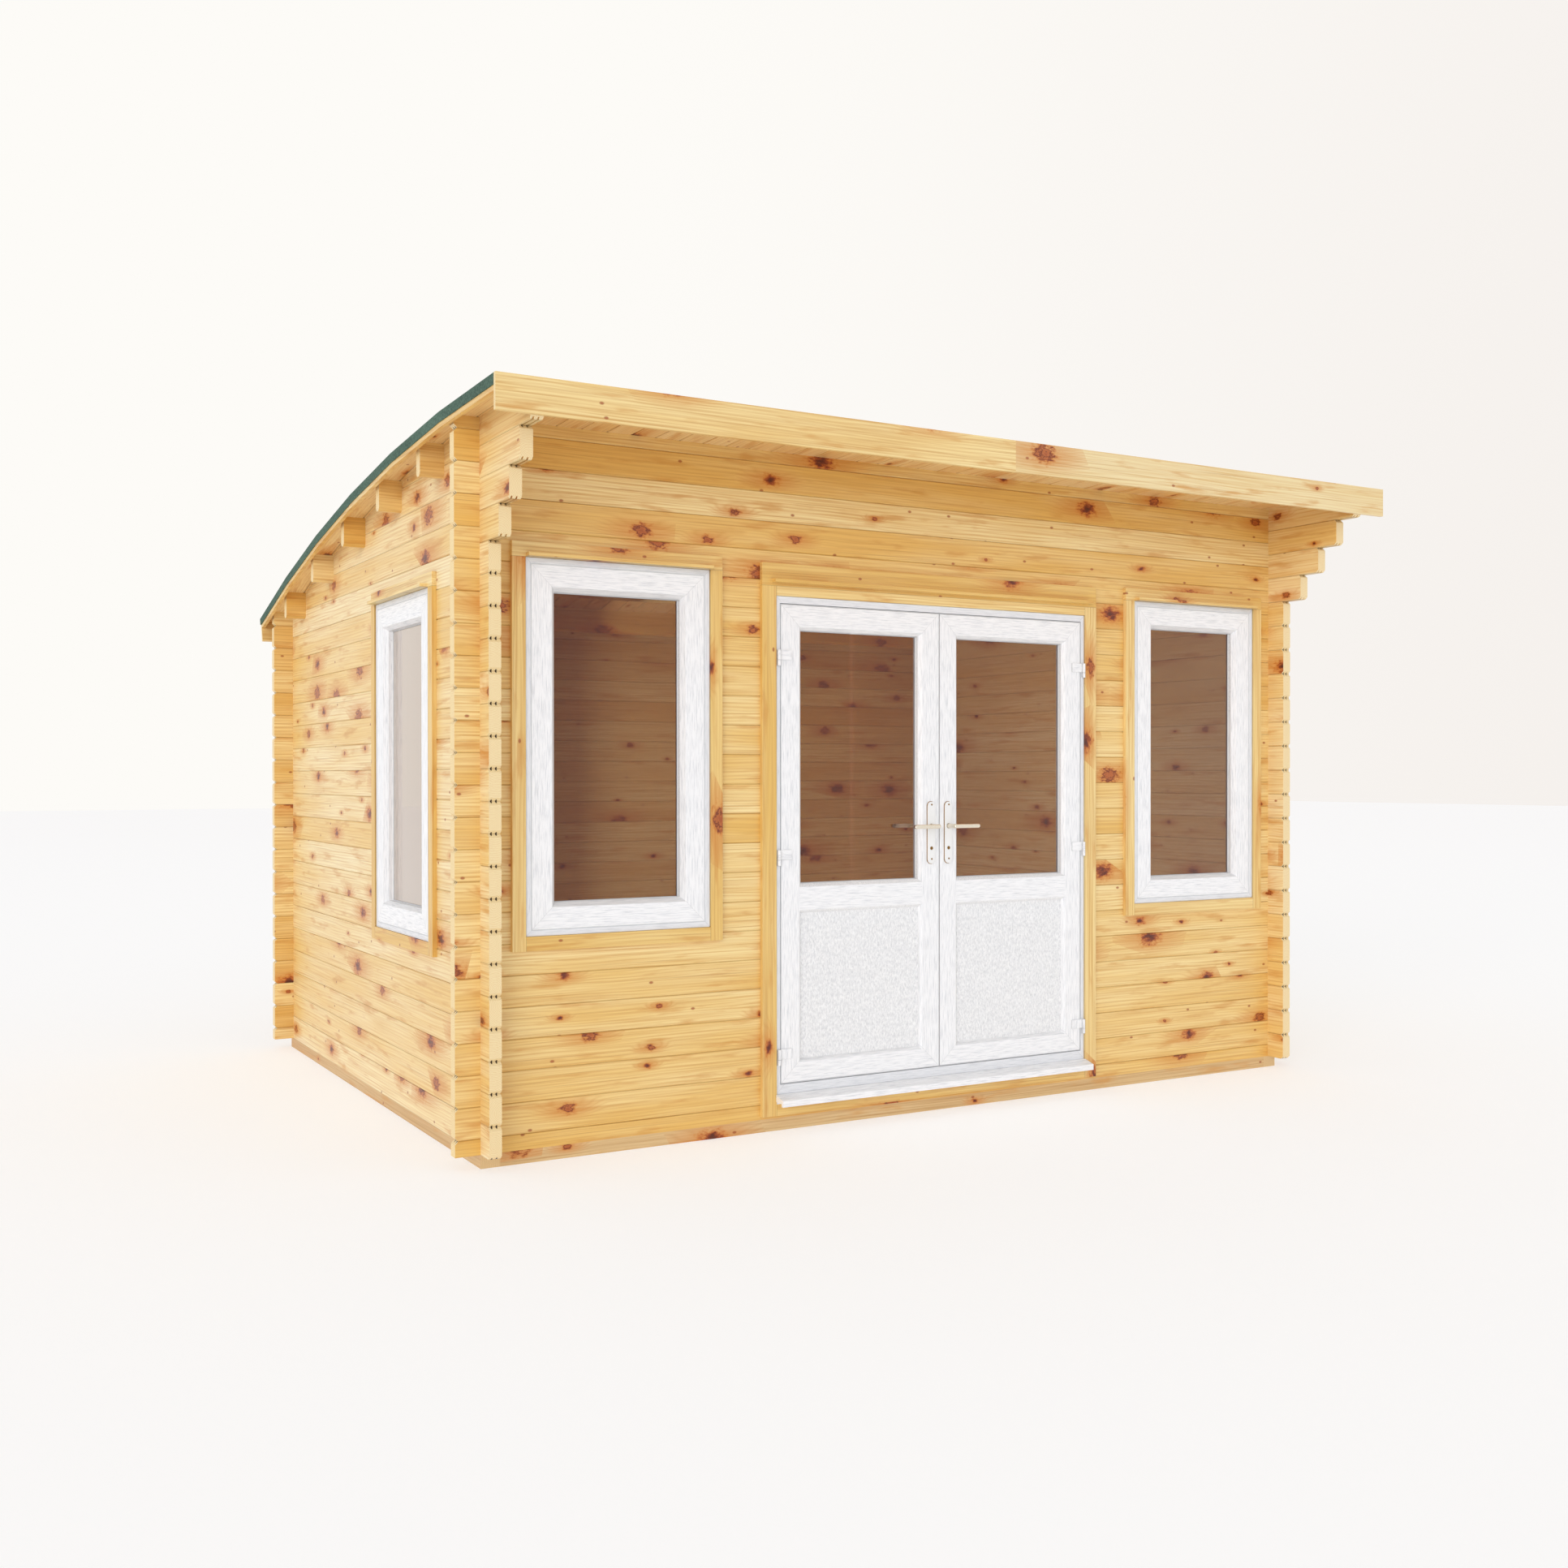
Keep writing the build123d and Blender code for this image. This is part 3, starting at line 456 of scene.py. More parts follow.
@dataclass(frozen=True)
class TrimPine(Finish):
    """Planed pine trim: uprights with upright grain, cross boards with level grain, and fine joints."""

    run: Axis = Axis.X
    middle_mm: float = 0.0
    inner_half_mm: float = 358.5
    head_mm: float = 2100.0
    halfway_mm: float = 1400.0
    seed: float = 0.0
    pale: str = "#f8e0a0"
    honey: str = "#e8be66"
    late: str = "#d09b4a"
    relief_mm: float = 0.5

    def paint(self, add: partial) -> dict:
        """Tell uprights from cross boards by their place, and give each its own grain."""
        place = add("TexCoord")
        at = add("SeparateXYZ", {0: place.outputs["Object"]}).outputs
        level = add("Math", {0: at[self.run.value], 1: self.middle_mm * MM}, operation="SUBTRACT")
        out = add("Math", {0: level}, operation="ABSOLUTE")
        over_head = add("Math", {0: at["Z"], 1: self.head_mm * MM}, operation="GREATER_THAN")
        between = add("Math", {0: out, 1: self.inner_half_mm * MM}, operation="LESS_THAN")
        cross = add("Math", {0: over_head, 1: between}, operation="MAXIMUM")
        upper = add("Math", {0: at["Z"], 1: self.halfway_mm * MM}, operation="GREATER_THAN")
        hand = add("Math", {0: level}, operation="SIGN")
        cross_number = add("Math", {0: over_head, 1: 2.0, 2: upper}, operation="MULTIPLY_ADD")
        cross_board = add("Math", {0: cross_number, 1: 3.0 + self.seed}, operation="ADD")
        upright_board = add("Math", {0: hand, 1: self.seed}, operation="ADD")
        along = add("Mix", {0: cross, 2: at["Z"], 3: level})
        across_upright = add("Math", {0: out, 1: self.inner_half_mm * MM}, operation="SUBTRACT")
        across_head = add("Math", {0: at["Z"], 1: self.head_mm * MM}, operation="SUBTRACT")
        across = add("Mix", {0: cross, 2: across_upright, 3: across_head})
        board = add("Mix", {0: cross, 2: upright_board, 3: cross_board})
        grain = add("Group", {
            "Along": along, "Across": across, "Depth": at[1 - self.run.value], "Board": board,
            "Pale": linear(self.pale), "Honey": linear(self.honey), "Late": linear(self.late),
        }, node_tree=PineGrain().group())
        to_head = add("Math", {0: across_head}, operation="ABSOLUTE")
        to_upright = add("Math", {0: across_upright}, operation="ABSOLUTE")
        below_only = add("Math", {0: to_upright, 1: over_head}, operation="ADD")
        to_joint = add("Math", {0: to_head, 1: below_only}, operation="MINIMUM")
        joint = add("MapRange", {
            "Value": to_joint, "From Min": 0.0004, "From Max": 0.0018, "To Min": 0.72, "To Max": 1.0,
        })
        shaded = add("Mix", {0: 1.0, 6: grain.outputs["Color"], 7: joint},
                     data_type="RGBA", blend_type="MULTIPLY")
        bump = add("Bump", {
            "Strength": 0.3, "Distance": self.relief_mm * MM, "Height": grain.outputs["Height"],
        })
        return {"Base Color": shaded.outputs[2], "Roughness": grain.outputs["Roughness"], "Normal": bump,
                "Coat Weight": STAIN_COAT, "Coat Roughness": STAIN_ROUGHNESS}


@dataclass(frozen=True)
class WoodgrainUpvc(Finish):
    """White PVC-U under an embossed foil: satin, with a faint grey grain that turns at the mitres."""

    run: Axis = Axis.X
    middle_mm: tuple[float, float] = (0.0, 0.0)
    half_mm: tuple[float, float] = (FAR_MM, FAR_MM)
    mid_rail_mm: tuple[float, float] = (0.0, 0.0)
    stile_mm: float = 80.0
    white: str = "#fafafa"
    grey: str = "#c6c9cd"
    emboss_mm: float = 4.5      # the real 1 mm emboss is too fine to show
    emboss_run_mm: float = 70.0
    painted_reveal_shade: float = 0.78  # painted shade that greys the reveals and steps, by the way each face is turned

    def paint(self, add: partial) -> dict:
        """Turn the emboss along stiles and rails, with a weld at each mitre and painted shade on the reveals."""
        place = add("TexCoord").outputs
        at = add("SeparateXYZ", {0: place["Object"]}).outputs
        facing = add("SeparateXYZ", {0: place["Normal"]}).outputs
        # Painted shade: faces that do not look to the front or rear, such as reveals and steps, are greyed
        front = add("Math", {0: facing[1 - self.run.value]}, operation="ABSOLUTE")
        painted_shade = add("MapRange", {
            "Value": front, "From Min": 0.2, "From Max": 0.9, "To Min": self.painted_reveal_shade, "To Max": 1.0,
        })
        level = add("Math", {0: at[self.run.value], 1: self.middle_mm[0] * MM}, operation="SUBTRACT")
        height = add("Math", {0: at["Z"], 1: self.middle_mm[1] * MM}, operation="SUBTRACT")
        level_out = add("Math", {0: level}, operation="ABSOLUTE")
        height_out = add("Math", {0: height}, operation="ABSOLUTE")
        to_side = add("Math", {0: self.half_mm[0] * MM, 1: level_out}, operation="SUBTRACT")
        to_end = add("Math", {0: self.half_mm[1] * MM, 1: height_out}, operation="SUBTRACT")
        in_rail = add("Math", {0: to_end, 1: to_side}, operation="LESS_THAN")
        above = add("Math", {0: at["Z"], 1: self.mid_rail_mm[0] * MM}, operation="GREATER_THAN")
        below = add("Math", {0: at["Z"], 1: self.mid_rail_mm[1] * MM}, operation="LESS_THAN")
        inside = add("Math", {0: to_side, 1: self.stile_mm * MM}, operation="GREATER_THAN")
        in_band = add("Math", {0: above, 1: below}, operation="MULTIPLY")
        in_mid_rail = add("Math", {0: in_band, 1: inside}, operation="MULTIPLY")
        rail = add("Math", {0: in_rail, 1: in_mid_rail}, operation="MAXIMUM")
        along = add("Mix", {0: rail, 2: at["Z"], 3: level})
        across = add("Mix", {0: rail, 2: level, 3: at["Z"]})
        turned = add("CombineXYZ", {"X": along, "Y": across, "Z": at[1 - self.run.value]})
        emboss_scale = scale_for(self.emboss_run_mm, self.emboss_mm, self.emboss_mm)
        scaled = add("VectorMath", {0: turned, 1: emboss_scale}, operation="MULTIPLY")
        grain = add("TexNoise", {"Vector": scaled, "Scale": 1.0, "Detail": 3.0, "Roughness": 0.65})
        share = add("MapRange", {"Value": grain, "From Min": 0.45, "From Max": 0.75, "To Max": 0.75})
        mixed = add("Mix", {0: share, 6: linear(self.white), 7: linear(self.grey)}, data_type="RGBA")
        off_mitre = add("Math", {0: to_side, 1: to_end}, operation="SUBTRACT")
        from_mitre = add("Math", {0: off_mitre}, operation="ABSOLUTE")
        weld = add("MapRange", {
            "Value": from_mitre, "From Min": 0.0005, "From Max": 0.002, "To Min": 0.84, "To Max": 1.0,
        })
        shade = add("Math", {0: weld, 1: painted_shade}, operation="MULTIPLY")
        welded_and_shaded = add("Mix", {0: 1.0, 6: mixed.outputs[2], 7: shade}, data_type="RGBA", blend_type="MULTIPLY")
        roughness = add("MapRange", {"Value": grain, "To Min": 0.32, "To Max": 0.5})
        bump = add("Bump", {"Strength": 0.35, "Distance": 0.0006, "Height": grain})
        return {"Base Color": welded_and_shaded.outputs[2], "Roughness": roughness, "Normal": bump, "IOR": PVC_IOR}


@dataclass(frozen=True)
class StippledPanel(Finish):
    """A foam-cored PVC-U panel with a stippled skin: satin white, with an upright mottle of pale grey."""

    white: str = "#fbfbfa"
    grey: str = "#d6d7d8"
    stipple_mm: float = 7.0     # the real 2 mm stipple is too fine to show

    def paint(self, add: partial) -> dict:
        """Mottle the skin in colour, gloss and height."""
        place = add("TexCoord").outputs["Object"]
        size = self.stipple_mm * MM
        scaled = add("VectorMath", {0: place, 1: (1 / size, 1 / size, 0.5 / size)}, operation="MULTIPLY")
        mottle = add("TexNoise", {"Vector": scaled, "Scale": 1.0, "Detail": 3.0, "Roughness": 0.7})
        share = add("MapRange", {"Value": mottle, "From Min": 0.35, "From Max": 0.7})
        mixed = add("Mix", {0: share, 6: linear(self.white), 7: linear(self.grey)}, data_type="RGBA")
        roughness = add("MapRange", {"Value": mottle, "To Min": 0.4, "To Max": 0.6})
        bump = add("Bump", {"Strength": 0.4, "Distance": 0.0008, "Height": mottle})
        return {"Base Color": mixed.outputs[2], "Roughness": roughness, "Normal": bump, "IOR": PVC_IOR}


@dataclass(frozen=True)
class BronzeGlass(Finish):
    """Float glass with a bronze body tint: see-through, brown and smooth, with faint clouds in the tint."""

    tint: str = "#4a2924"
    roughness: float = 0.03
    ior: float = 1.52
    cover: float = 0.5          # each face of a pane
    mirror: float = 2.1         # a double pane's four faces reflect most of what comes in at a slant

    def paint(self, add: partial) -> dict:
        """Tint the pane, let the room show through it, and mirror the sky where it is seen at a slant."""
        place = add("TexCoord").outputs["Object"]
        cloud = add("TexNoise", {"Vector": place, "Scale": 1 / 0.8, "Detail": 1.0})
        cover = add("MapRange", {
            "Value": cloud, "To Min": self.cover - 0.05, "To Max": self.cover + 0.05,
        })
        facing = add("LayerWeight", {"Blend": 0.5}).outputs["Facing"]
        slant = add("Math", {0: facing, 1: 3.0}, operation="POWER")
        mirror = add("Math", {0: slant, 1: self.mirror}, operation="MULTIPLY", use_clamp=True)
        covered = add("Mix", {0: mirror, 2: cover, 3: 0.95})
        colour = add("Mix", {0: mirror, 6: linear(self.tint), 7: linear("#f7ebdf")}, data_type="RGBA")
        return {"Base Color": colour.outputs[2], "Alpha": covered, "Metallic": mirror,
                "Roughness": self.roughness, "IOR": self.ior}


@dataclass(frozen=True)
class MineralFelt(Finish):
    """Bitumen felt pressed full of green slate granules: matt, dark and gritty, with paler worn patches."""

    dark: str = "#2c4639"
    pale: str = "#5d7a69"
    granule_mm: float = 5.0     # the real 1 mm granules are too fine to show

    def paint(self, add: partial) -> dict:
        """Scatter granules of several greens and weather them in patches."""
        place = add("TexCoord").outputs["Object"]
        grit = add("TexVoronoi", {"Vector": place, "Scale": 1 / (self.granule_mm * MM)})
        speck = add("SeparateColor", {"Color": grit.outputs["Color"]}).outputs["Red"]
        patch = add("TexNoise", {"Vector": place, "Scale": 1 / 0.5, "Detail": 4.0})
        weather = add("Math", {0: patch, 1: 0.8, 2: -0.3}, operation="MULTIPLY_ADD")
        share = add("Math", {0: speck, 1: 0.7, 2: weather}, operation="MULTIPLY_ADD", use_clamp=True)
        mixed = add("Mix", {0: share, 6: linear(self.dark), 7: linear(self.pale)}, data_type="RGBA")
        bump = add("Bump", {"Strength": 0.6, "Distance": 0.0015, "Height": grit}, invert=True)
        roughness = add("MapRange", {"Value": patch, "To Min": 0.85, "To Max": 0.97})
        return {"Base Color": mixed.outputs[2], "Roughness": roughness, "Normal": bump}


@dataclass(frozen=True)
class FinishedMetal(Finish):
    """A turned, cast or rolled metal: a bright reflection, softened by fine polishing marks."""

    colour: str = "#d9d2c6"
    smoothest: float = 0.18
    roughest: float = 0.34
    metallic: float = 1.0
    marks_mm: float = 1.5       # polishing marks, wider than the real ones so that they show

    def paint(self, add: partial) -> dict:
        """Polish the metal along its length."""
        place = add("TexCoord").outputs["Object"]
        size = self.marks_mm * MM
        scaled = add("VectorMath", {0: place, 1: (0.05 / size, 1 / size, 1 / size)}, operation="MULTIPLY")
        marks = add("TexNoise", {"Vector": scaled, "Scale": 1.0, "Detail": 2.0})
        roughness = add("MapRange", {"Value": marks, "To Min": self.smoothest, "To Max": self.roughest})
        return {"Base Color": linear(self.colour), "Roughness": roughness, "Metallic": self.metallic}


@dataclass(frozen=True)
class GasketRubber(Finish):
    """EPDM rubber: a soft dull line between a pane and its frame. In dark colours, it is the painted shade in a
    slot.
    """

    colour: str = "#cbcdcf"
    dusty_and_shade_tone: str = "#dbddde"

    def paint(self, add: partial) -> dict:
        """Dull the rubber unevenly."""
        place = add("TexCoord").outputs["Object"]
        dust_and_shade_mottle = add("TexNoise", {"Vector": place, "Scale": 1 / 0.012, "Detail": 2.0})
        mixed = add("Mix", {0: dust_and_shade_mottle, 6: linear(self.colour), 7: linear(self.dusty_and_shade_tone)}, data_type="RGBA")
        roughness = add("MapRange", {"Value": dust_and_shade_mottle, "To Min": 0.55, "To Max": 0.75})
        return {"Base Color": mixed.outputs[2], "Roughness": roughness}


# Making pieces


def dress(finish: Finish, *nodes: str) -> None:
    """Give CAD nodes a finish.

    Args:
        finish: the finish of all their faces.
        nodes: the nodes' names.
    """
    for name in nodes:
        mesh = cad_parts[name].data
        mesh.materials.clear()
        mesh.materials.append(finish.material())
        LOG.info("dressed %s in %s", name, finish.name)


def soften(width_mm: float, *nodes: str) -> None:
    """Round the edges of CAD nodes a little, as a modifier, which leaves their own meshes alone.

    Args:
        width_mm: width of the rounding.
        nodes: the nodes' names.
    """
    for name in nodes:
        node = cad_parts[name]
        weld = node.modifiers.new("weld", "WELD")
        weld.merge_threshold = 0.02 * MM
        bevel = node.modifiers.new("edges", "BEVEL")
        bevel.width = width_mm * MM
        bevel.segments = 2
        bevel.limit_method = "ANGLE"
        bevel.angle_limit = math.radians(40)


def make_piece(name: str, bm: bmesh.types.BMesh, finish: Finish, body: str) -> bpy.types.Object:
    """Turn a finished bmesh into a piece of the cabin.

    Args:
        name: the piece's name.
        bm: its mesh, in place, which is freed.
        finish: its finish.
        body: the CAD body that it rides on.

    Returns:
        The piece's object.
    """
    bmesh.ops.recalc_face_normals(bm, faces=bm.faces)
    mesh = bpy.data.meshes.new(name)
    bm.to_mesh(mesh)
    bm.free()
    mesh.materials.append(finish.material())
    piece = bpy.data.objects.new(name, mesh)
    bpy.context.scene.collection.objects.link(piece)
    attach(piece, body)
    LOG.info("made %s, %d faces, on %s", name, len(mesh.polygons), body)
    return piece


def add_box(bm: bmesh.types.BMesh, low: Vector, high: Vector) -> list[bmesh.types.BMVert]:
    """Add a box between two corners.

    Args:
        bm: the mesh that takes it.
        low: its lowest corner.
        high: its highest corner.

    Returns:
        Its eight vertices.
    """
    size = high - low
    place = Matrix.Translation((low + high) / 2) @ Matrix.Diagonal((*size, 1.0))
    return bmesh.ops.create_cube(bm, size=1.0, matrix=place)["verts"]


def pick(geometry: list, kind: type) -> list:
    """Pick one kind of element out of what a bmesh operator returned.

    Args:
        geometry: vertices, edges and faces.
        kind: the class of those that are wanted.

    Returns:
        The elements of that kind.
    """
    return [element for element in geometry if isinstance(element, kind)]


def add_sheet(bm: bmesh.types.BMesh, line: list[Vector], width: Vector) -> tuple[list, list]:
    """Sweep a line of points sideways into a sheet, and start the sheet's other side.

    Args:
        bm: the mesh that takes it.
        line: the points.
        width: how far they are swept.

    Returns:
        The faces of the sheet, and the vertices of its other side, which still lie on the first.
    """
    chain = [bm.verts.new(point) for point in line]
    links = [bm.edges.new(pair) for pair in zip(chain, chain[1:])]
    swept = bmesh.ops.extrude_edge_only(bm, edges=links)["geom"]
    bmesh.ops.translate(bm, verts=pick(swept, bmesh.types.BMVert), vec=width)
    faces = pick(swept, bmesh.types.BMFace)
    raised = bmesh.ops.extrude_face_region(bm, geom=faces)["geom"]
    return faces, pick(raised, bmesh.types.BMVert)


def add_ring(bm: bmesh.types.BMesh, run: Axis, low: Vector, high: Vector, width_mm: float) -> None:
    """Add a square ring that lies in the plane of a wall.

    Args:
        bm: the mesh that takes it.
        run: the level direction of its wall.
        low: its lowest corner, with the depth that it starts from.
        high: its highest corner, with the depth that it ends at.
        width_mm: the width of its sides.
    """
    depth = 1 - run.value
    size = high - low
    step = Vector((0, 0, 0))
    step[depth] = size[depth]
    size[depth] = 1.0
    middle = (low + high) / 2
    middle[depth] = low[depth]
    turn = Matrix.Rotation(math.pi / 2, 4, "X" if run is Axis.X else "Y")
    place = Matrix.Translation(middle) @ Matrix.Diagonal((*size, 1.0)) @ turn
    sheet = bmesh.ops.create_grid(bm, x_segments=1, y_segments=1, size=0.5, matrix=place)["verts"]
    face = sheet[0].link_faces[0]
    rim = bmesh.ops.inset_region(
        bm, faces=[face], thickness=width_mm * MM, use_boundary=True, use_even_offset=True)["faces"]
    bmesh.ops.delete(bm, geom=[face], context="FACES_ONLY")
    raised = bmesh.ops.extrude_face_region(bm, geom=rim)["geom"]
    bmesh.ops.translate(bm, verts=pick(raised, bmesh.types.BMVert), vec=step)


def long_edges(verts: list[bmesh.types.BMVert], axis: Axis) -> list[bmesh.types.BMEdge]:
    """Find the edges of a new shape that run along an axis.

    Args:
        verts: the shape's vertices.
        axis: the direction.

    Returns:
        The edges.
    """
    edges = {edge for vert in verts for edge in vert.link_edges}
    return [edge for edge in edges
            if abs((edge.verts[0].co - edge.verts[1].co).normalized()[axis.value]) > 0.9]


# Sub-assemblies


@dataclass
class Base:
    """Bearers and joists on the ground, with planed floor boards that run from front to rear."""

    board_count: int = 40
    board_gap_mm: float = 1.0
    edge_mm: float = 1.5

    def dress(self) -> None:
        """Dress the timbers that carry the floor."""
        sawn = {"pale": "#dfc08c", "honey": "#cfa468", "late": "#b98a50", "coat": 0.0}
        dress(PlanedPine("sawn_pine_bearers", Axis.Y, Axis.Z, Axis.Z, seed=400.0, **sawn),
              "left_bearer", "right_bearer")
        dress(PlanedPine("sawn_pine_joists", Axis.X, Axis.Z, Axis.Y, 390.0, seed=420.0, **sawn), "floor_joists")

    def boards(self) -> bpy.types.Object:
        """Lay the floor boards, each with its edges eased.

        Returns:
            The piece that stands for the plain floor.
        """
        low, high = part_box("floor_boards")
        pitch = (high.x - low.x) / self.board_count
        bm = bmesh.new()
        for k in range(self.board_count):
            near = low + Vector((k * pitch, 0, 0))
            far = Vector((near.x + pitch - self.board_gap_mm * MM, high.y, high.z))
            verts = add_box(bm, near, far)
            tops = [edge for edge in long_edges(verts, Axis.Y) if edge.verts[0].co.z > high.z - MM]
            bmesh.ops.bevel(bm, geom=tops, offset=self.edge_mm * MM, **EDGES_BEVEL)
        finish = PlanedPine("planed_pine_floor", Axis.Y, Axis.X, Axis.X, pitch / MM, low.x / MM, seed=440.0,
                            pale="#e3c690", honey="#d6ab68", late="#c39352", joint_shade=0.8, coat=0.0)
        piece = make_piece("floor_planks", bm, finish, "root")
        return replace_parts(piece, "floor_boards")


@dataclass
class LogWalls:
    """Walls of interlocked logs. Side logs sit half a log lower than front and rear logs."""

    log_mm: float = 110.0
    side_start_mm: float = 48.0
    cross_start_mm: float = -7.0
    wall_x_mm: float = 1910.0
    wall_y_mm: float = 1410.0
    log_thickness_mm: float = 44.0
    grooves_mm: tuple[float, float] = (10.5, 28.0)
    joint_shade: float = 0.8

    def dress(self) -> None:
        """Give each wall logs of its own, with paler tones, as painted light, on the sides and front."""
        fixed = {"grooves_mm": self.grooves_mm, "joint_shade": self.joint_shade}
        # Painted light: the side walls get a paler copy of the rear wall's pine, and the front wall one a little
        # paler, standing for the bright light on the left wall and lifting the shade under the eaves
        painted_light_tones = {"pale": "#fae8b8", "honey": "#efca7c", "late": "#d8a454"}
        for number, name in enumerate(("left_wall", "right_wall")):
            depth = -self.wall_x_mm if number == 0 else self.wall_x_mm - self.log_thickness_mm
            finish = PlanedPine(f"pine_logs_{name}", Axis.Y, Axis.Z, Axis.Z, self.log_mm, self.side_start_mm,
                                depth_mm=depth, seed=100.0 * number, **fixed, **painted_light_tones)
            dress(finish, name)
        # painted light: the front wall's tones are a little paler than the rear wall's
        front = PlanedPine("pine_logs_front_wall", Axis.X, Axis.Z, Axis.Z, self.log_mm, self.cross_start_mm,
                           depth_mm=-self.wall_y_mm, seed=200.0, pale="#fbe5a8", honey="#eabd64", late="#d19a48",
                           **fixed)
        dress(front, "front_wall_left", "front_wall_right", "front_wall_head", "front_wall_sill")
        rear = PlanedPine("pine_logs_rear_wall", Axis.X, Axis.Z, Axis.Z, self.log_mm, self.cross_start_mm,
                          depth_mm=self.wall_y_mm - self.log_thickness_mm, seed=300.0, **fixed)
        dress(rear, "rear_wall")


@dataclass
class Roof:
    """Boards from front to rear over five purlins, green mineral felt, gable boards and fascias."""

    board_count: int = 42
    board_gap_mm: float = 0.6
    joint_v_mm: float = 3.5
    lap_mm: float = 75.0
    lap_rise_mm: float = 2.5
    lap_places_mm: tuple[float, ...] = (-900.0, 0.0, 830.0)
    sink_mm: float = 1.0
    station_mm: float = 30.0
    nail_gap_mm: float = 125.0
    nail_inset_mm: float = 18.0
    nail_head_mm: float = 5.0
    nail_rise_mm: float = 1.2

    def dress(self) -> None:
        """Dress the roof's timbers and felt."""
        dress(PlanedPine("pine_purlins", Axis.X, Axis.Z, Axis.Y, 530.0, -1100.0, seed=500.0), "purlins")
        tones = {"front_fascia_right": {"pale": "#f1dca9", "honey": "#e8c987", "late": "#d8ab64"}}
        for number, name in enumerate(("front_fascia_left", "front_fascia_right", "rear_fascia")):
            finish = PlanedPine(f"pine_{name}", Axis.X, Axis.Z, Axis.Y, start_mm=-2500.0, depth_mm=-1912.0,
                                seed=520.0 + 3 * number, **tones.get(name, {}))
            dress(finish, name)
        for number, name in enumerate(("left_gable_board", "right_gable_board")):
            finish = PlanedPine(f"pine_{name}", Axis.Y, Axis.Z, Axis.X, start_mm=-2500.0,
                                seed=540.0 + 3 * number)
            dress(finish, name)
        dress(MineralFelt("green_mineral_felt"), "roof_felt")

    def section(self) -> list[tuple[Vector, Vector]]:
        """Read the deck's under and upper points, station by station, from the CAD node.

        Returns:
            A lower and an upper point at each station, from front to rear.
        """
        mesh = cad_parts["roof_boards"].data
        edge = min(v.co.x for v in mesh.vertices)
        points = {(round(v.co.y, 5), round(v.co.z, 5)) for v in mesh.vertices if v.co.x < edge + MM}
        ordered = sorted(points)
        pairs = [sorted(ordered[k:k + 2], key=lambda point: point[1]) for k in range(0, len(ordered), 2)]
        return [(Vector((0, *lower)), Vector((0, *upper))) for lower, upper in pairs]

    def boards(self) -> bpy.types.Object:
        """Lay the roof boards, V-jointed on the side that shows.

        Returns:
            The piece that stands for the plain deck.
        """
        low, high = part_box("roof_boards")
        pitch = (high.x - low.x) / self.board_count
        width = Vector((pitch - self.board_gap_mm * MM, 0, 0))
        section = self.section()
        bm = bmesh.new()
        for k in range(self.board_count):
            shift = Vector((low.x + k * pitch, 0, 0))
            under, tops = add_sheet(bm, [lower + shift for lower, _ in section], width)
            for vert in tops:
                lower, upper = min(section, key=lambda pair: abs(pair[0].y - vert.co.y))
                vert.co += upper - lower
            bottoms = {edge for face in under if face.is_valid for edge in face.edges}
            sides = [edge for edge in bottoms if abs(edge.verts[0].co.x - edge.verts[1].co.x) < MM / 2]
            bmesh.ops.bevel(bm, geom=sides, offset=self.joint_v_mm * MM, **EDGES_BEVEL)
        # Painted light: these boards are paler than the other pine, which lifts the shade on the soffit under the
        # eaves
        finish = PlanedPine("pine_roof_boards", Axis.Y, Axis.X, Axis.X, pitch / MM, low.x / MM, seed=560.0,
                            pale="#fae0a8", honey="#f0c680", late="#dcaa62", joint_shade=0.7)
        piece = make_piece("roof_planks", bm, finish, "root")
        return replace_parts(piece, "roof_boards")

    def skin(self) -> list[Vector]:
        """Read the top of the felt, station by station, from the CAD node.

        Returns:
            A point of the felt's top at each station, from front to rear.
        """
        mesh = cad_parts["roof_felt"].data
        edge = min(v.co.x for v in mesh.vertices)
        points = sorted({(round(v.co.y, 4), round(v.co.z, 4)) for v in mesh.vertices if v.co.x < edge + MM})
        near = self.station_mm * MM
        tops = [(y, z) for y, z in points if z >= max(other for at, other in points if abs(at - y) < near)]
        rear_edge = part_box("roof_boards")[1].y + MM
        return [Vector((0, y, z)) for y, z in tops if y < rear_edge]

    def laps(self) -> bpy.types.Object:
        """Lay the upper sheet's edge at each lap of the felt, within the roof's own height.

        Returns:
            The piece.
        """
        skin = self.skin()
        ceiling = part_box("front_fascia_left")[1].z - self.sink_mm * MM / 4
        bm = bmesh.new()
        for place in self.lap_places_mm:
            shift = Vector((place * MM, 0, -self.sink_mm * MM))
            _, tops = add_sheet(bm, [point + shift for point in skin], Vector((self.lap_mm * MM, 0, 0)))
            for vert in tops:
                vert.co.z = min(vert.co.z + (self.sink_mm + self.lap_rise_mm) * MM, ceiling)
        return make_piece("felt_laps", bm, MineralFelt("green_mineral_felt"), "root")

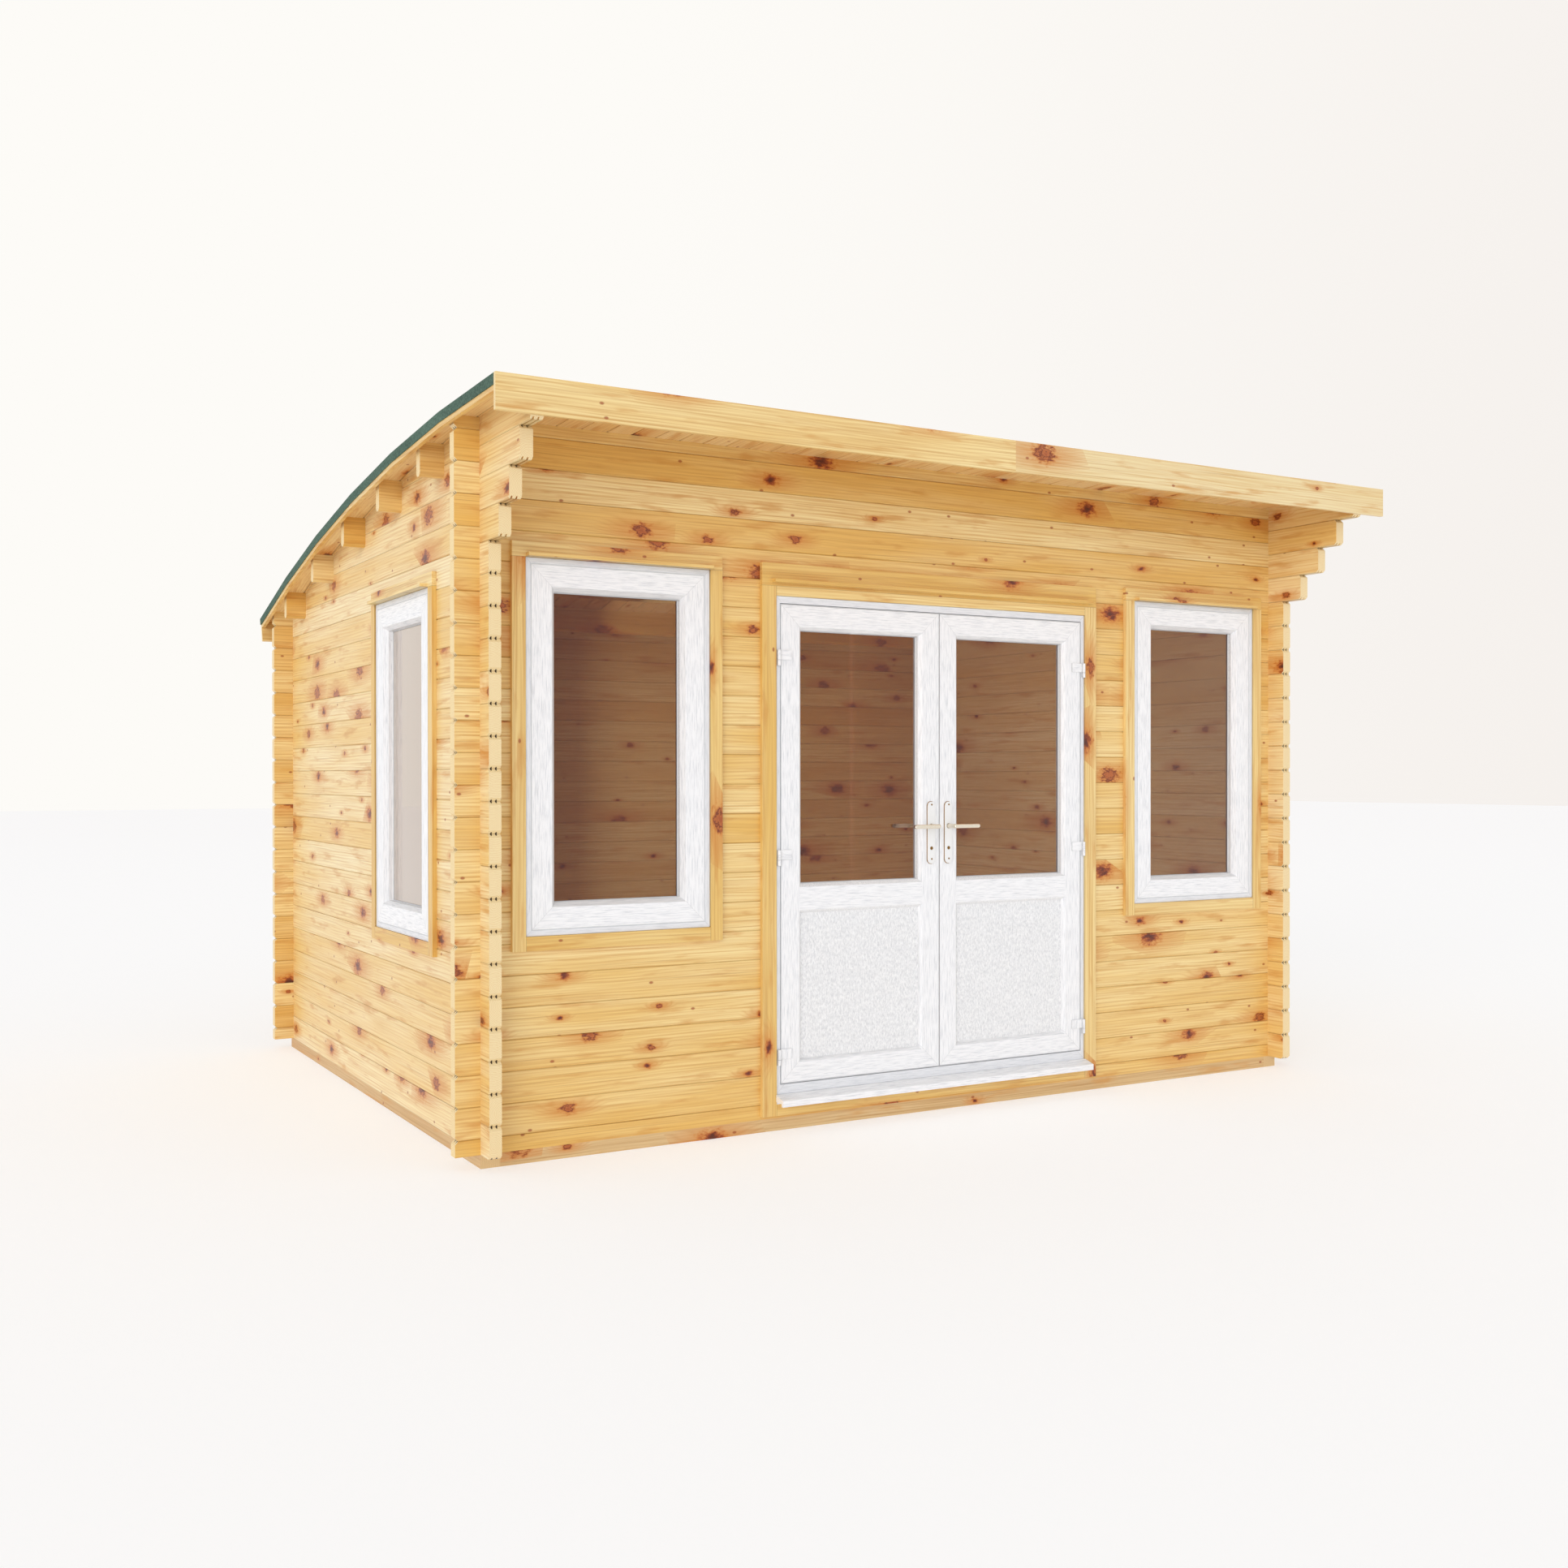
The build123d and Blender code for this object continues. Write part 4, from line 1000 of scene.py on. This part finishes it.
    def nails(self) -> bpy.types.Object:
        """Drive clout nails along the laps and the gable edges.

        Returns:
            The piece.
        """
        skin = self.skin()
        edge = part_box("roof_boards")[1].x - self.nail_inset_mm * MM
        lines = [(place + self.lap_mm - self.nail_inset_mm) * MM for place in self.lap_places_mm] + [-edge, edge]
        bm = bmesh.new()
        for near, far in zip(skin[1:], skin[2:]):
            run = far - near
            tilt = Matrix.Rotation(math.atan2(run.z, run.y), 4, "X")
            count = round(run.length / (self.nail_gap_mm * MM))
            for step in range(count):
                at = near + run * (step + 0.5) / count
                for x in lines:
                    place = Matrix.Translation((x, at.y, at.z + self.lap_rise_mm * MM)) @ tilt
                    bmesh.ops.create_cone(
                        bm, cap_ends=True, segments=8, radius1=self.nail_head_mm * MM,
                        radius2=self.nail_head_mm * MM * 0.8, depth=2 * self.nail_rise_mm * MM, matrix=place)
        return make_piece("clout_nails", bm, FinishedMetal("galvanised_clout_nails", "#a9adb0", 0.4, 0.6),
                          "root")


@dataclass
class Pane:
    """A pane at the back of its rebate, with white beads in front of it and a gasket on each face."""

    name: str
    run: Axis
    body: str = "root"
    pane_mm: float = 6.0
    bead_mm: float = 6.0
    gasket_mm: float = 3.0
    gasket_rise_mm: float = 2.0

    def glaze(self) -> bpy.types.Object:
        """Fill the plain pane's space with the beads and the pane.

        Returns:
            The piece that stands for the plain pane.
        """
        depth = 1 - self.run.value
        low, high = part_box(f"{self.name}_glass")
        front = high[depth] - self.pane_mm * MM
        bead_end, pane_start = high.copy(), low.copy()
        bead_end[depth] = pane_start[depth] = front
        beads, glass = bmesh.new(), bmesh.new()
        add_ring(beads, self.run, low, bead_end, self.bead_mm)
        white = WoodgrainUpvc("white_upvc_beads", self.run)
        make_piece(f"{self.name}_beads", beads, white, self.body)
        add_box(glass, pane_start, high)
        pane = make_piece(f"{self.name}_pane", glass, BronzeGlass("bronze_glass"), self.body)
        self.gaskets(low, high, front)
        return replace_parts(pane, f"{self.name}_glass")

    def gaskets(self, low: Vector, high: Vector, front: float) -> bpy.types.Object:
        """Run a gasket round the pane, outside and inside.

        Args:
            low: the lowest corner of the plain pane.
            high: its highest corner.
            front: where the outer face of the pane lies.

        Returns:
            The piece.
        """
        depth = 1 - self.run.value
        reach = Vector((self.bead_mm, self.bead_mm, self.bead_mm)) * MM
        bm = bmesh.new()
        for face, out in ((front, -1), (high[depth], 1)):
            start, end = low + reach, high - reach
            start[depth] = face
            end[depth] = face + out * self.gasket_rise_mm * MM
            add_ring(bm, self.run, start, end, self.gasket_mm)
        return make_piece(f"{self.name}_gaskets", bm, GasketRubber("grey_epdm_gasket"), self.body)


@dataclass
class DoorSet:
    """The white door frame with its cill, hinges and timber trim, and both leaves."""

    frame_half_mm: float = 753.5
    frame_bottom_mm: float = 139.0
    frame_top_mm: float = 2023.0
    trim_inner_half_mm: float = 754.0
    trim_head_mm: float = 2059.5
    leaf_near_mm: float = 3.0
    leaf_far_mm: float = 731.0
    leaf_bottom_mm: float = 180.0
    leaf_top_mm: float = 1991.0
    mid_rail_mm: tuple[float, float] = (832.0, 920.0)
    rounding_mm: float = 1.2
    fine_rounding_mm: float = 1.0
    handle_inset_mm: float = 42.0
    plate_half_mm: float = 17.0
    plate_thickness_mm: float = 8.0
    # a brass-coloured rim round each backplate, painted shade along the plate's rounded edge
    shade_rim_mm: float = 2.2
    shade_rim_rise_mm: float = 2.0
    screw_heights_mm: tuple[float, float] = (1011.0, 1228.0)
    screw_mm: float = 3.6
    screw_rise_mm: float = 0.8
    screw_slot_half_mm: tuple[float, float, float] = (2.88, 0.2, 0.5)
    key_height_mm: float = 1054.0
    key_mm: float = 6.4
    key_sinks_mm: tuple[float, float] = (4.0, 0.5)      # its two ends, behind the face of the plate
    key_slot_half_mm: tuple[float, float, float] = (1.0, 0.3, 3.84)
    round_segments: int = 24
    seal_mm: float = 3.0
    seal_play_mm: float = 0.6
    seal_inset_mm: float = 0.8
    seal_depth_mm: float = 6.0

    def dress_frame(self) -> None:
        """Dress all that stays still."""
        middle = (self.frame_bottom_mm + self.frame_top_mm) / 2
        half = (self.frame_top_mm - self.frame_bottom_mm) / 2
        dress(WoodgrainUpvc("white_upvc_door_frame", middle_mm=(0.0, middle), half_mm=(self.frame_half_mm, half),
                            white=FRAME_WHITE), "door_frame")
        dress(WoodgrainUpvc("white_upvc_cill", half_mm=(FAR_MM, 0.0), painted_reveal_shade=1.0), "door_cill")
        soften(self.rounding_mm, "door_frame", "door_cill")
        soften(self.fine_rounding_mm, "door_trim")
        dress(TrimPine("pine_door_trim", Axis.X, 0.0, self.trim_inner_half_mm, self.trim_head_mm, 1000.0, 600.0),
              "door_trim")

    def dress_leaf(self, side: Side) -> None:
        """Dress a leaf with its panel, glass, hinges and handle.

        Args:
            side: which leaf.
        """
        word, hand = side.word, side.value
        middle = (hand * (self.leaf_near_mm + self.leaf_far_mm) / 2, (self.leaf_bottom_mm + self.leaf_top_mm) / 2)
        half = ((self.leaf_far_mm - self.leaf_near_mm) / 2, (self.leaf_top_mm - self.leaf_bottom_mm) / 2)
        dress(WoodgrainUpvc(f"white_upvc_{word}_leaf", middle_mm=middle, half_mm=half, mid_rail_mm=self.mid_rail_mm),
              f"{word}_door_leaf")
        dress(StippledPanel("stippled_upvc_panel"), f"{word}_door_panel")
        # the hinges get a deeper painted shade on their turned faces
        dress(WoodgrainUpvc("white_upvc_hinges", emboss_mm=9.0, painted_reveal_shade=0.6), f"{word}_hinges_on_frame",
              f"{word}_hinges_on_leaf")
        dress(FinishedMetal("powder_coated_backplate", "#f3f3f1", 0.25, 0.4, 0.0), f"{word}_door_backplates")
        dress(FinishedMetal("polished_lever", "#e9e0cf"), f"{word}_door_lever")
        soften(self.rounding_mm, f"{word}_door_leaf")
        soften(self.fine_rounding_mm, f"{word}_hinges_on_frame", f"{word}_hinges_on_leaf", f"{word}_door_lever",
               f"{word}_door_backplates")
        Pane(f"{word}_door", Axis.X, f"{word}_door").glaze()
        self.fit_lock(side)

    def fit_lock(self, side: Side) -> None:
        """Fit the brass screws and key cylinder of both of a leaf's backplates, and a brass-coloured rim round each
        plate, which is painted shade along its rounded edge.

        Args:
            side: which leaf.
        """
        x = side.value * self.handle_inset_mm
        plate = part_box(f"{side.word}_door_backplates")
        middle = (plate[0].z + plate[1].z) / 2 / MM
        half = (plate[1].z - plate[0].z) / 2 / MM
        width = self.plate_half_mm + self.shade_rim_mm
        brass_and_shade_rim, slots = bmesh.new(), bmesh.new()
        for face, out in ((plate[0].y / MM, -1), (plate[1].y / MM, 1)):
            back = face - out * self.plate_thickness_mm
            shade_rim_face = back + out * self.shade_rim_rise_mm
            # Painted shade: the rim behind the plate shows as a tan outline along its rounded edge
            self.add_disc(brass_and_shade_rim, x, middle, width, half - self.plate_half_mm, (back, shade_rim_face))
            screw_face = face + out * self.screw_rise_mm
            for height in self.screw_heights_mm:
                self.add_disc(brass_and_shade_rim, x, height, self.screw_mm, 0.0, (face - out, screw_face))
                self.add_slot(slots, (x, screw_face, height), self.screw_slot_half_mm)
            key_back, key_face = (face - out * sink for sink in self.key_sinks_mm)
            self.add_disc(brass_and_shade_rim, x, self.key_height_mm, self.key_mm, 0.0, (key_back, key_face))
            self.add_slot(slots, (x, key_face, self.key_height_mm), self.key_slot_half_mm)
        body = f"{side.word}_door"
        make_piece(f"{body}_lock_brass", brass_and_shade_rim, FinishedMetal("brushed_brass_and_rim_shade", "#9c7642", 0.3, 0.45), body)
        # Painted shade: the screw and key slots are dark inlays
        make_piece(f"{body}_lock_slots", slots, GasketRubber("shadowed_slots", "#241c16", "#3a2e24"), body)

    def fit_seals(self) -> None:
        """Fit the seal that the leaves close against, and the one at the meeting line, on the left leaf."""
        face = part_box("left_door_leaf")[0].y + self.seal_inset_mm * MM
        back = face + self.seal_depth_mm * MM
        reach, rise = self.leaf_far_mm + self.seal_mm, self.leaf_top_mm + self.seal_mm
        bm = bmesh.new()
        add_ring(bm, Axis.X, Vector((-reach * MM, face, (self.leaf_bottom_mm - self.seal_mm) * MM)),
                 Vector((reach * MM, back, rise * MM)), self.seal_mm - self.seal_play_mm)
        rubber = GasketRubber("grey_epdm_gasket")
        make_piece("door_frame_seal", bm, rubber, "root")
        bm = bmesh.new()
        verts = add_box(bm, Vector((-self.leaf_near_mm * MM, face, self.leaf_bottom_mm * MM)),
                        Vector((self.seal_play_mm * MM, back, self.leaf_top_mm * MM)))
        nose = [edge for edge in long_edges(verts, Axis.Z) if edge.verts[0].co.x > 0]
        bmesh.ops.bevel(bm, geom=nose, offset=self.seal_play_mm * MM, **EDGES_BEVEL)
        make_piece("meeting_seal", bm, rubber, "left_door")

    def add_disc(self, bm: bmesh.types.BMesh, x_mm: float, height_mm: float, radius_mm: float, stretch_mm: float,
                 depths_mm: tuple[float, float]) -> None:
        """Add a disc that stands upright, or a plate with round ends where it is stretched.

        Args:
            bm: the mesh that takes it.
            x_mm: its middle along the front wall.
            height_mm: its middle above the ground.
            radius_mm: its radius.
            stretch_mm: how far each half is moved from the middle.
            depths_mm: where its two faces lie, from front to rear.
        """
        count = self.round_segments
        turn = Matrix.Rotation(math.pi / 2, 4, "X") @ Matrix.Rotation(math.pi / count, 4, "Z")
        place = Matrix.Translation((x_mm * MM, depths_mm[0] * MM, height_mm * MM)) @ turn
        disc = bmesh.ops.create_circle(bm, cap_ends=True, segments=count, radius=radius_mm * MM, matrix=place)
        verts = disc["verts"]
        for vert in verts:
            vert.co.z += math.copysign(stretch_mm * MM, vert.co.z - height_mm * MM)
        raised = bmesh.ops.extrude_face_region(bm, geom=[verts[0].link_faces[0]])["geom"]
        bmesh.ops.translate(bm, verts=pick(raised, bmesh.types.BMVert),
                            vec=(0, (depths_mm[1] - depths_mm[0]) * MM, 0))

    @staticmethod
    def add_slot(bm: bmesh.types.BMesh, middle_mm: tuple[float, float, float],
                 half_mm: tuple[float, float, float]) -> None:
        """Add a slot as a thin dark inlay of painted shade.

        Args:
            bm: the mesh that takes it.
            middle_mm: its middle.
            half_mm: half its size each way.
        """
        middle, half = Vector(middle_mm) * MM, Vector(half_mm) * MM
        add_box(bm, middle - half, middle + half)


@dataclass
class Casement:
    """A casement window: white frame and sash, tinted pane and timber trim."""

    name: str
    run: Axis
    middle_mm: float
    bottom_mm: float
    seed: float
    width_mm: float = 716.0
    height_mm: float = 1314.0
    frame_face_mm: float = 20.0
    gap_mm: float = 3.0
    fit_mm: float = 0.5
    rounding_mm: float = 1.2
    fine_rounding_mm: float = 1.0
    seal_inset_mm: float = 0.8
    seal_depth_mm: float = 6.0

    def dress(self) -> None:
        """Dress the window, and fit its seal and its pane."""
        middle = (self.middle_mm, self.bottom_mm + self.height_mm / 2)
        half = (self.width_mm / 2, self.height_mm / 2)
        inset = self.frame_face_mm + self.gap_mm
        dress(WoodgrainUpvc(f"white_upvc_{self.name}_frame", self.run, middle, half, white=FRAME_WHITE),
              f"{self.name}_frame")
        dress(WoodgrainUpvc(f"white_upvc_{self.name}_sash", self.run, middle, (half[0] - inset, half[1] - inset)),
              f"{self.name}_sash")
        head = self.bottom_mm + self.height_mm + self.fit_mm
        dress(TrimPine(f"pine_{self.name}_trim", self.run, self.middle_mm, half[0] + self.fit_mm, head,
                       middle[1], self.seed), f"{self.name}_trim")
        soften(self.rounding_mm, f"{self.name}_frame", f"{self.name}_sash")
        soften(self.fine_rounding_mm, f"{self.name}_trim")
        self.fit_seal()
        Pane(self.name, self.run).glaze()

    def fit_seal(self) -> None:
        """Fit the seal that the sash closes against."""
        depth = 1 - self.run.value
        low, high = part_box(f"{self.name}_sash")
        around = Vector((self.gap_mm, self.gap_mm, self.gap_mm)) * MM
        start, end = low - around, high + around
        start[depth] = low[depth] + self.seal_inset_mm * MM
        end[depth] = start[depth] + self.seal_depth_mm * MM
        bm = bmesh.new()
        add_ring(bm, self.run, start, end, self.gap_mm)
        make_piece(f"{self.name}_seal", bm, GasketRubber("grey_epdm_gasket"), "root")


@dataclass
class Studio:
    """A pale floor under soft light, and a camera where the photographer stood."""

    floor_half: float = 60.0
    focal_px: float = 1938.6
    image_px: float = 1932.0
    sensor_mm: float = 36.0
    yaw: float = 0.5236
    pitch: float = -0.0054
    roll: float = -0.0006
    stand: tuple[float, float, float] = (-3.6962, -6.5786, 1.3447)
    sky_strength: float = 0.73
    floor_glow: float = 0.30
    floor_shown: float = 0.3
    sun_strength: float = 1.3
    sun_from: tuple[float, float, float] = (-0.76, -0.64, 0.14)
    sun_angle: float = 40.0
    room_lamp_watts: float = 6.5
    side_lamp_watts: float = 34.0

    def camera(self) -> None:
        """Put the camera where the photo was taken from."""
        sin_yaw, cos_yaw = math.sin(self.yaw), math.cos(self.yaw)
        ahead = Vector((sin_yaw * math.cos(self.pitch), cos_yaw * math.cos(self.pitch), math.sin(self.pitch)))
        right = Vector((cos_yaw, -sin_yaw, 0.0))
        up = right.cross(ahead)
        turn = Matrix((right, up, -ahead)).transposed() @ Matrix.Rotation(self.roll, 3, "Z")
        lens = bpy.data.cameras.new("camera")
        lens.sensor_width = self.sensor_mm
        lens.lens = self.sensor_mm * self.focal_px / self.image_px
        lens.clip_end = 200.0
        camera = bpy.data.objects.new("camera", lens)
        camera.matrix_world = Matrix.Translation(self.stand) @ turn.to_4x4()
        bpy.context.scene.collection.objects.link(camera)
        bpy.context.scene.camera = camera

    @staticmethod
    def looking(add: partial) -> bpy.types.Node:
        """Tell the rays that look at a thing from those that only light it.

        Args:
            add: adds a node to a tree.

        Returns:
            A node that gives 1 for camera, glossy and transmission rays, and otherwise 0.
        """
        path = add("LightPath").outputs
        direct = add("Math", {0: path["Is Camera Ray"], 1: path["Is Glossy Ray"]}, operation="MAXIMUM")
        return add("Math", {0: direct, 1: path["Is Transmission Ray"]}, operation="MAXIMUM")

    def backdrop(self) -> None:
        """Light the set from all round, and show a pale background where nothing stands."""
        world = bpy.data.worlds.new("studio")
        world.use_nodes = True
        bpy.context.scene.world = world
        tree = world.node_tree
        tree.nodes.clear()
        add = partial(add_node, tree)
        direction = add("SeparateXYZ", {0: add("TexCoord").outputs["Generated"]}).outputs
        across = add("MapRange", {"Value": direction["X"], "From Min": 0.35, "From Max": 1.0},
                     interpolation_type="SMOOTHSTEP")
        seen = add("Mix", {0: across, 6: linear("#fdfbf7"), 7: linear("#f4efeb")}, data_type="RGBA")
        light = add("Background", {"Color": linear("#f9fbff"), "Strength": self.sky_strength})
        show = add("Background", {"Color": seen.outputs[2], "Strength": 1.0})
        both = add("MixShader", {0: self.looking(add), 1: light, 2: show})
        add("OutputWorld", {"Surface": both})

    def floor(self) -> None:
        """Lay a pale floor that shows as the background and keeps the cabin's shadow."""
        bm = bmesh.new()
        bmesh.ops.create_grid(bm, x_segments=1, y_segments=1, size=self.floor_half)
        mesh = bpy.data.meshes.new("studio_floor")
        bm.to_mesh(mesh)
        bm.free()
        floor = bpy.data.objects.new("studio_floor", mesh)
        bpy.context.scene.collection.objects.link(floor)
        material = bpy.data.materials.new("painted_floor")
        material.use_nodes = True
        tree = material.node_tree
        tree.nodes.clear()
        add = partial(add_node, tree)
        place = add("TexCoord").outputs["Object"]
        away = add("VectorMath", {0: place}, operation="LENGTH").outputs["Value"]
        far = add("MapRange", {"Value": away, "From Min": 4.0, "From Max": 40.0}, interpolation_type="SMOOTHSTEP")
        seen = add("Mix", {0: far, 6: linear("#fdfcf8"), 7: linear("#faf7f3")}, data_type="RGBA")
        paint = add("BsdfDiffuse", {"Color": linear("#efece9")})
        glow = add("Emission", {"Color": linear("#fbfcff"), "Strength": self.floor_glow})
        bright = add("AddShader", {0: paint, 1: glow})
        show = add("Emission", {"Color": seen.outputs[2], "Strength": 1.0})
        share = add("Math", {0: self.looking(add), 1: self.floor_shown}, operation="MULTIPLY")
        both = add("MixShader", {0: share, 1: bright, 2: show})
        add("OutputMaterial", {"Surface": both})
        mesh.materials.append(material)

    def lamps(self) -> None:
        """Hang a very soft key light to the front left, and two weak lamps in the room."""
        key = bpy.data.lights.new("key", "SUN")
        key.energy = self.sun_strength
        key.angle = math.radians(self.sun_angle)
        key.color = linear("#fbfbff")[:3]
        sun = bpy.data.objects.new("key", key)
        sun.rotation_euler = Vector(self.sun_from).to_track_quat("Z", "Y").to_euler()
        bpy.context.scene.collection.objects.link(sun)
        self.room_lamp("room_fill", self.room_lamp_watts, (0.0, -0.1, 2.05), Vector((0, 0, 1)))
        self.room_lamp("room_side", self.side_lamp_watts, (-0.4, -0.2, 1.3), Vector((-1, 0, 0)))

    def room_lamp(self, name: str, watts: float, place: tuple[float, float, float], back: Vector) -> None:
        """Hang a wide, weak lamp in the room, which neither the camera nor a reflection shows.

        Args:
            name: the lamp's name.
            watts: its power.
            place: where it hangs.
            back: the direction away from which it shines.
        """
        light = bpy.data.lights.new(name, "AREA")
        light.shape = "RECTANGLE"
        light.size, light.size_y = 2.4, 1.7
        light.energy = watts
        light.color = linear("#fff6ea")[:3]
        lamp = bpy.data.objects.new(name, light)
        lamp.location = place
        lamp.rotation_euler = back.to_track_quat("Z", "Y").to_euler()
        lamp.visible_camera = False
        lamp.visible_glossy = False
        bpy.context.scene.collection.objects.link(lamp)

    def build(self) -> None:
        """Set up the whole studio."""
        bpy.context.scene.view_settings.view_transform = "Standard"
        self.camera()
        self.backdrop()
        self.floor()
        self.lamps()


def main() -> None:
    """Build the cabin's looks in order."""
    logging.basicConfig(level=logging.INFO, format="%(name)s: %(message)s")
    Studio().build()
    base = Base()
    base.dress()
    base.boards()
    LogWalls().dress()
    roof = Roof()
    roof.dress()
    roof.boards()
    roof.laps()
    roof.nails()
    doors = DoorSet()
    doors.dress_frame()
    doors.fit_seals()
    for side in Side:
        doors.dress_leaf(side)
    Casement("left_front_window", Axis.X, -1392.5, 787.0, 620.0).dress()
    Casement("right_front_window", Axis.X, 1392.5, 787.0, 640.0).dress()
    Casement("left_side_window", Axis.Y, -524.5, 728.0, 660.0).dress()


if __name__ == "__main__":
    main()
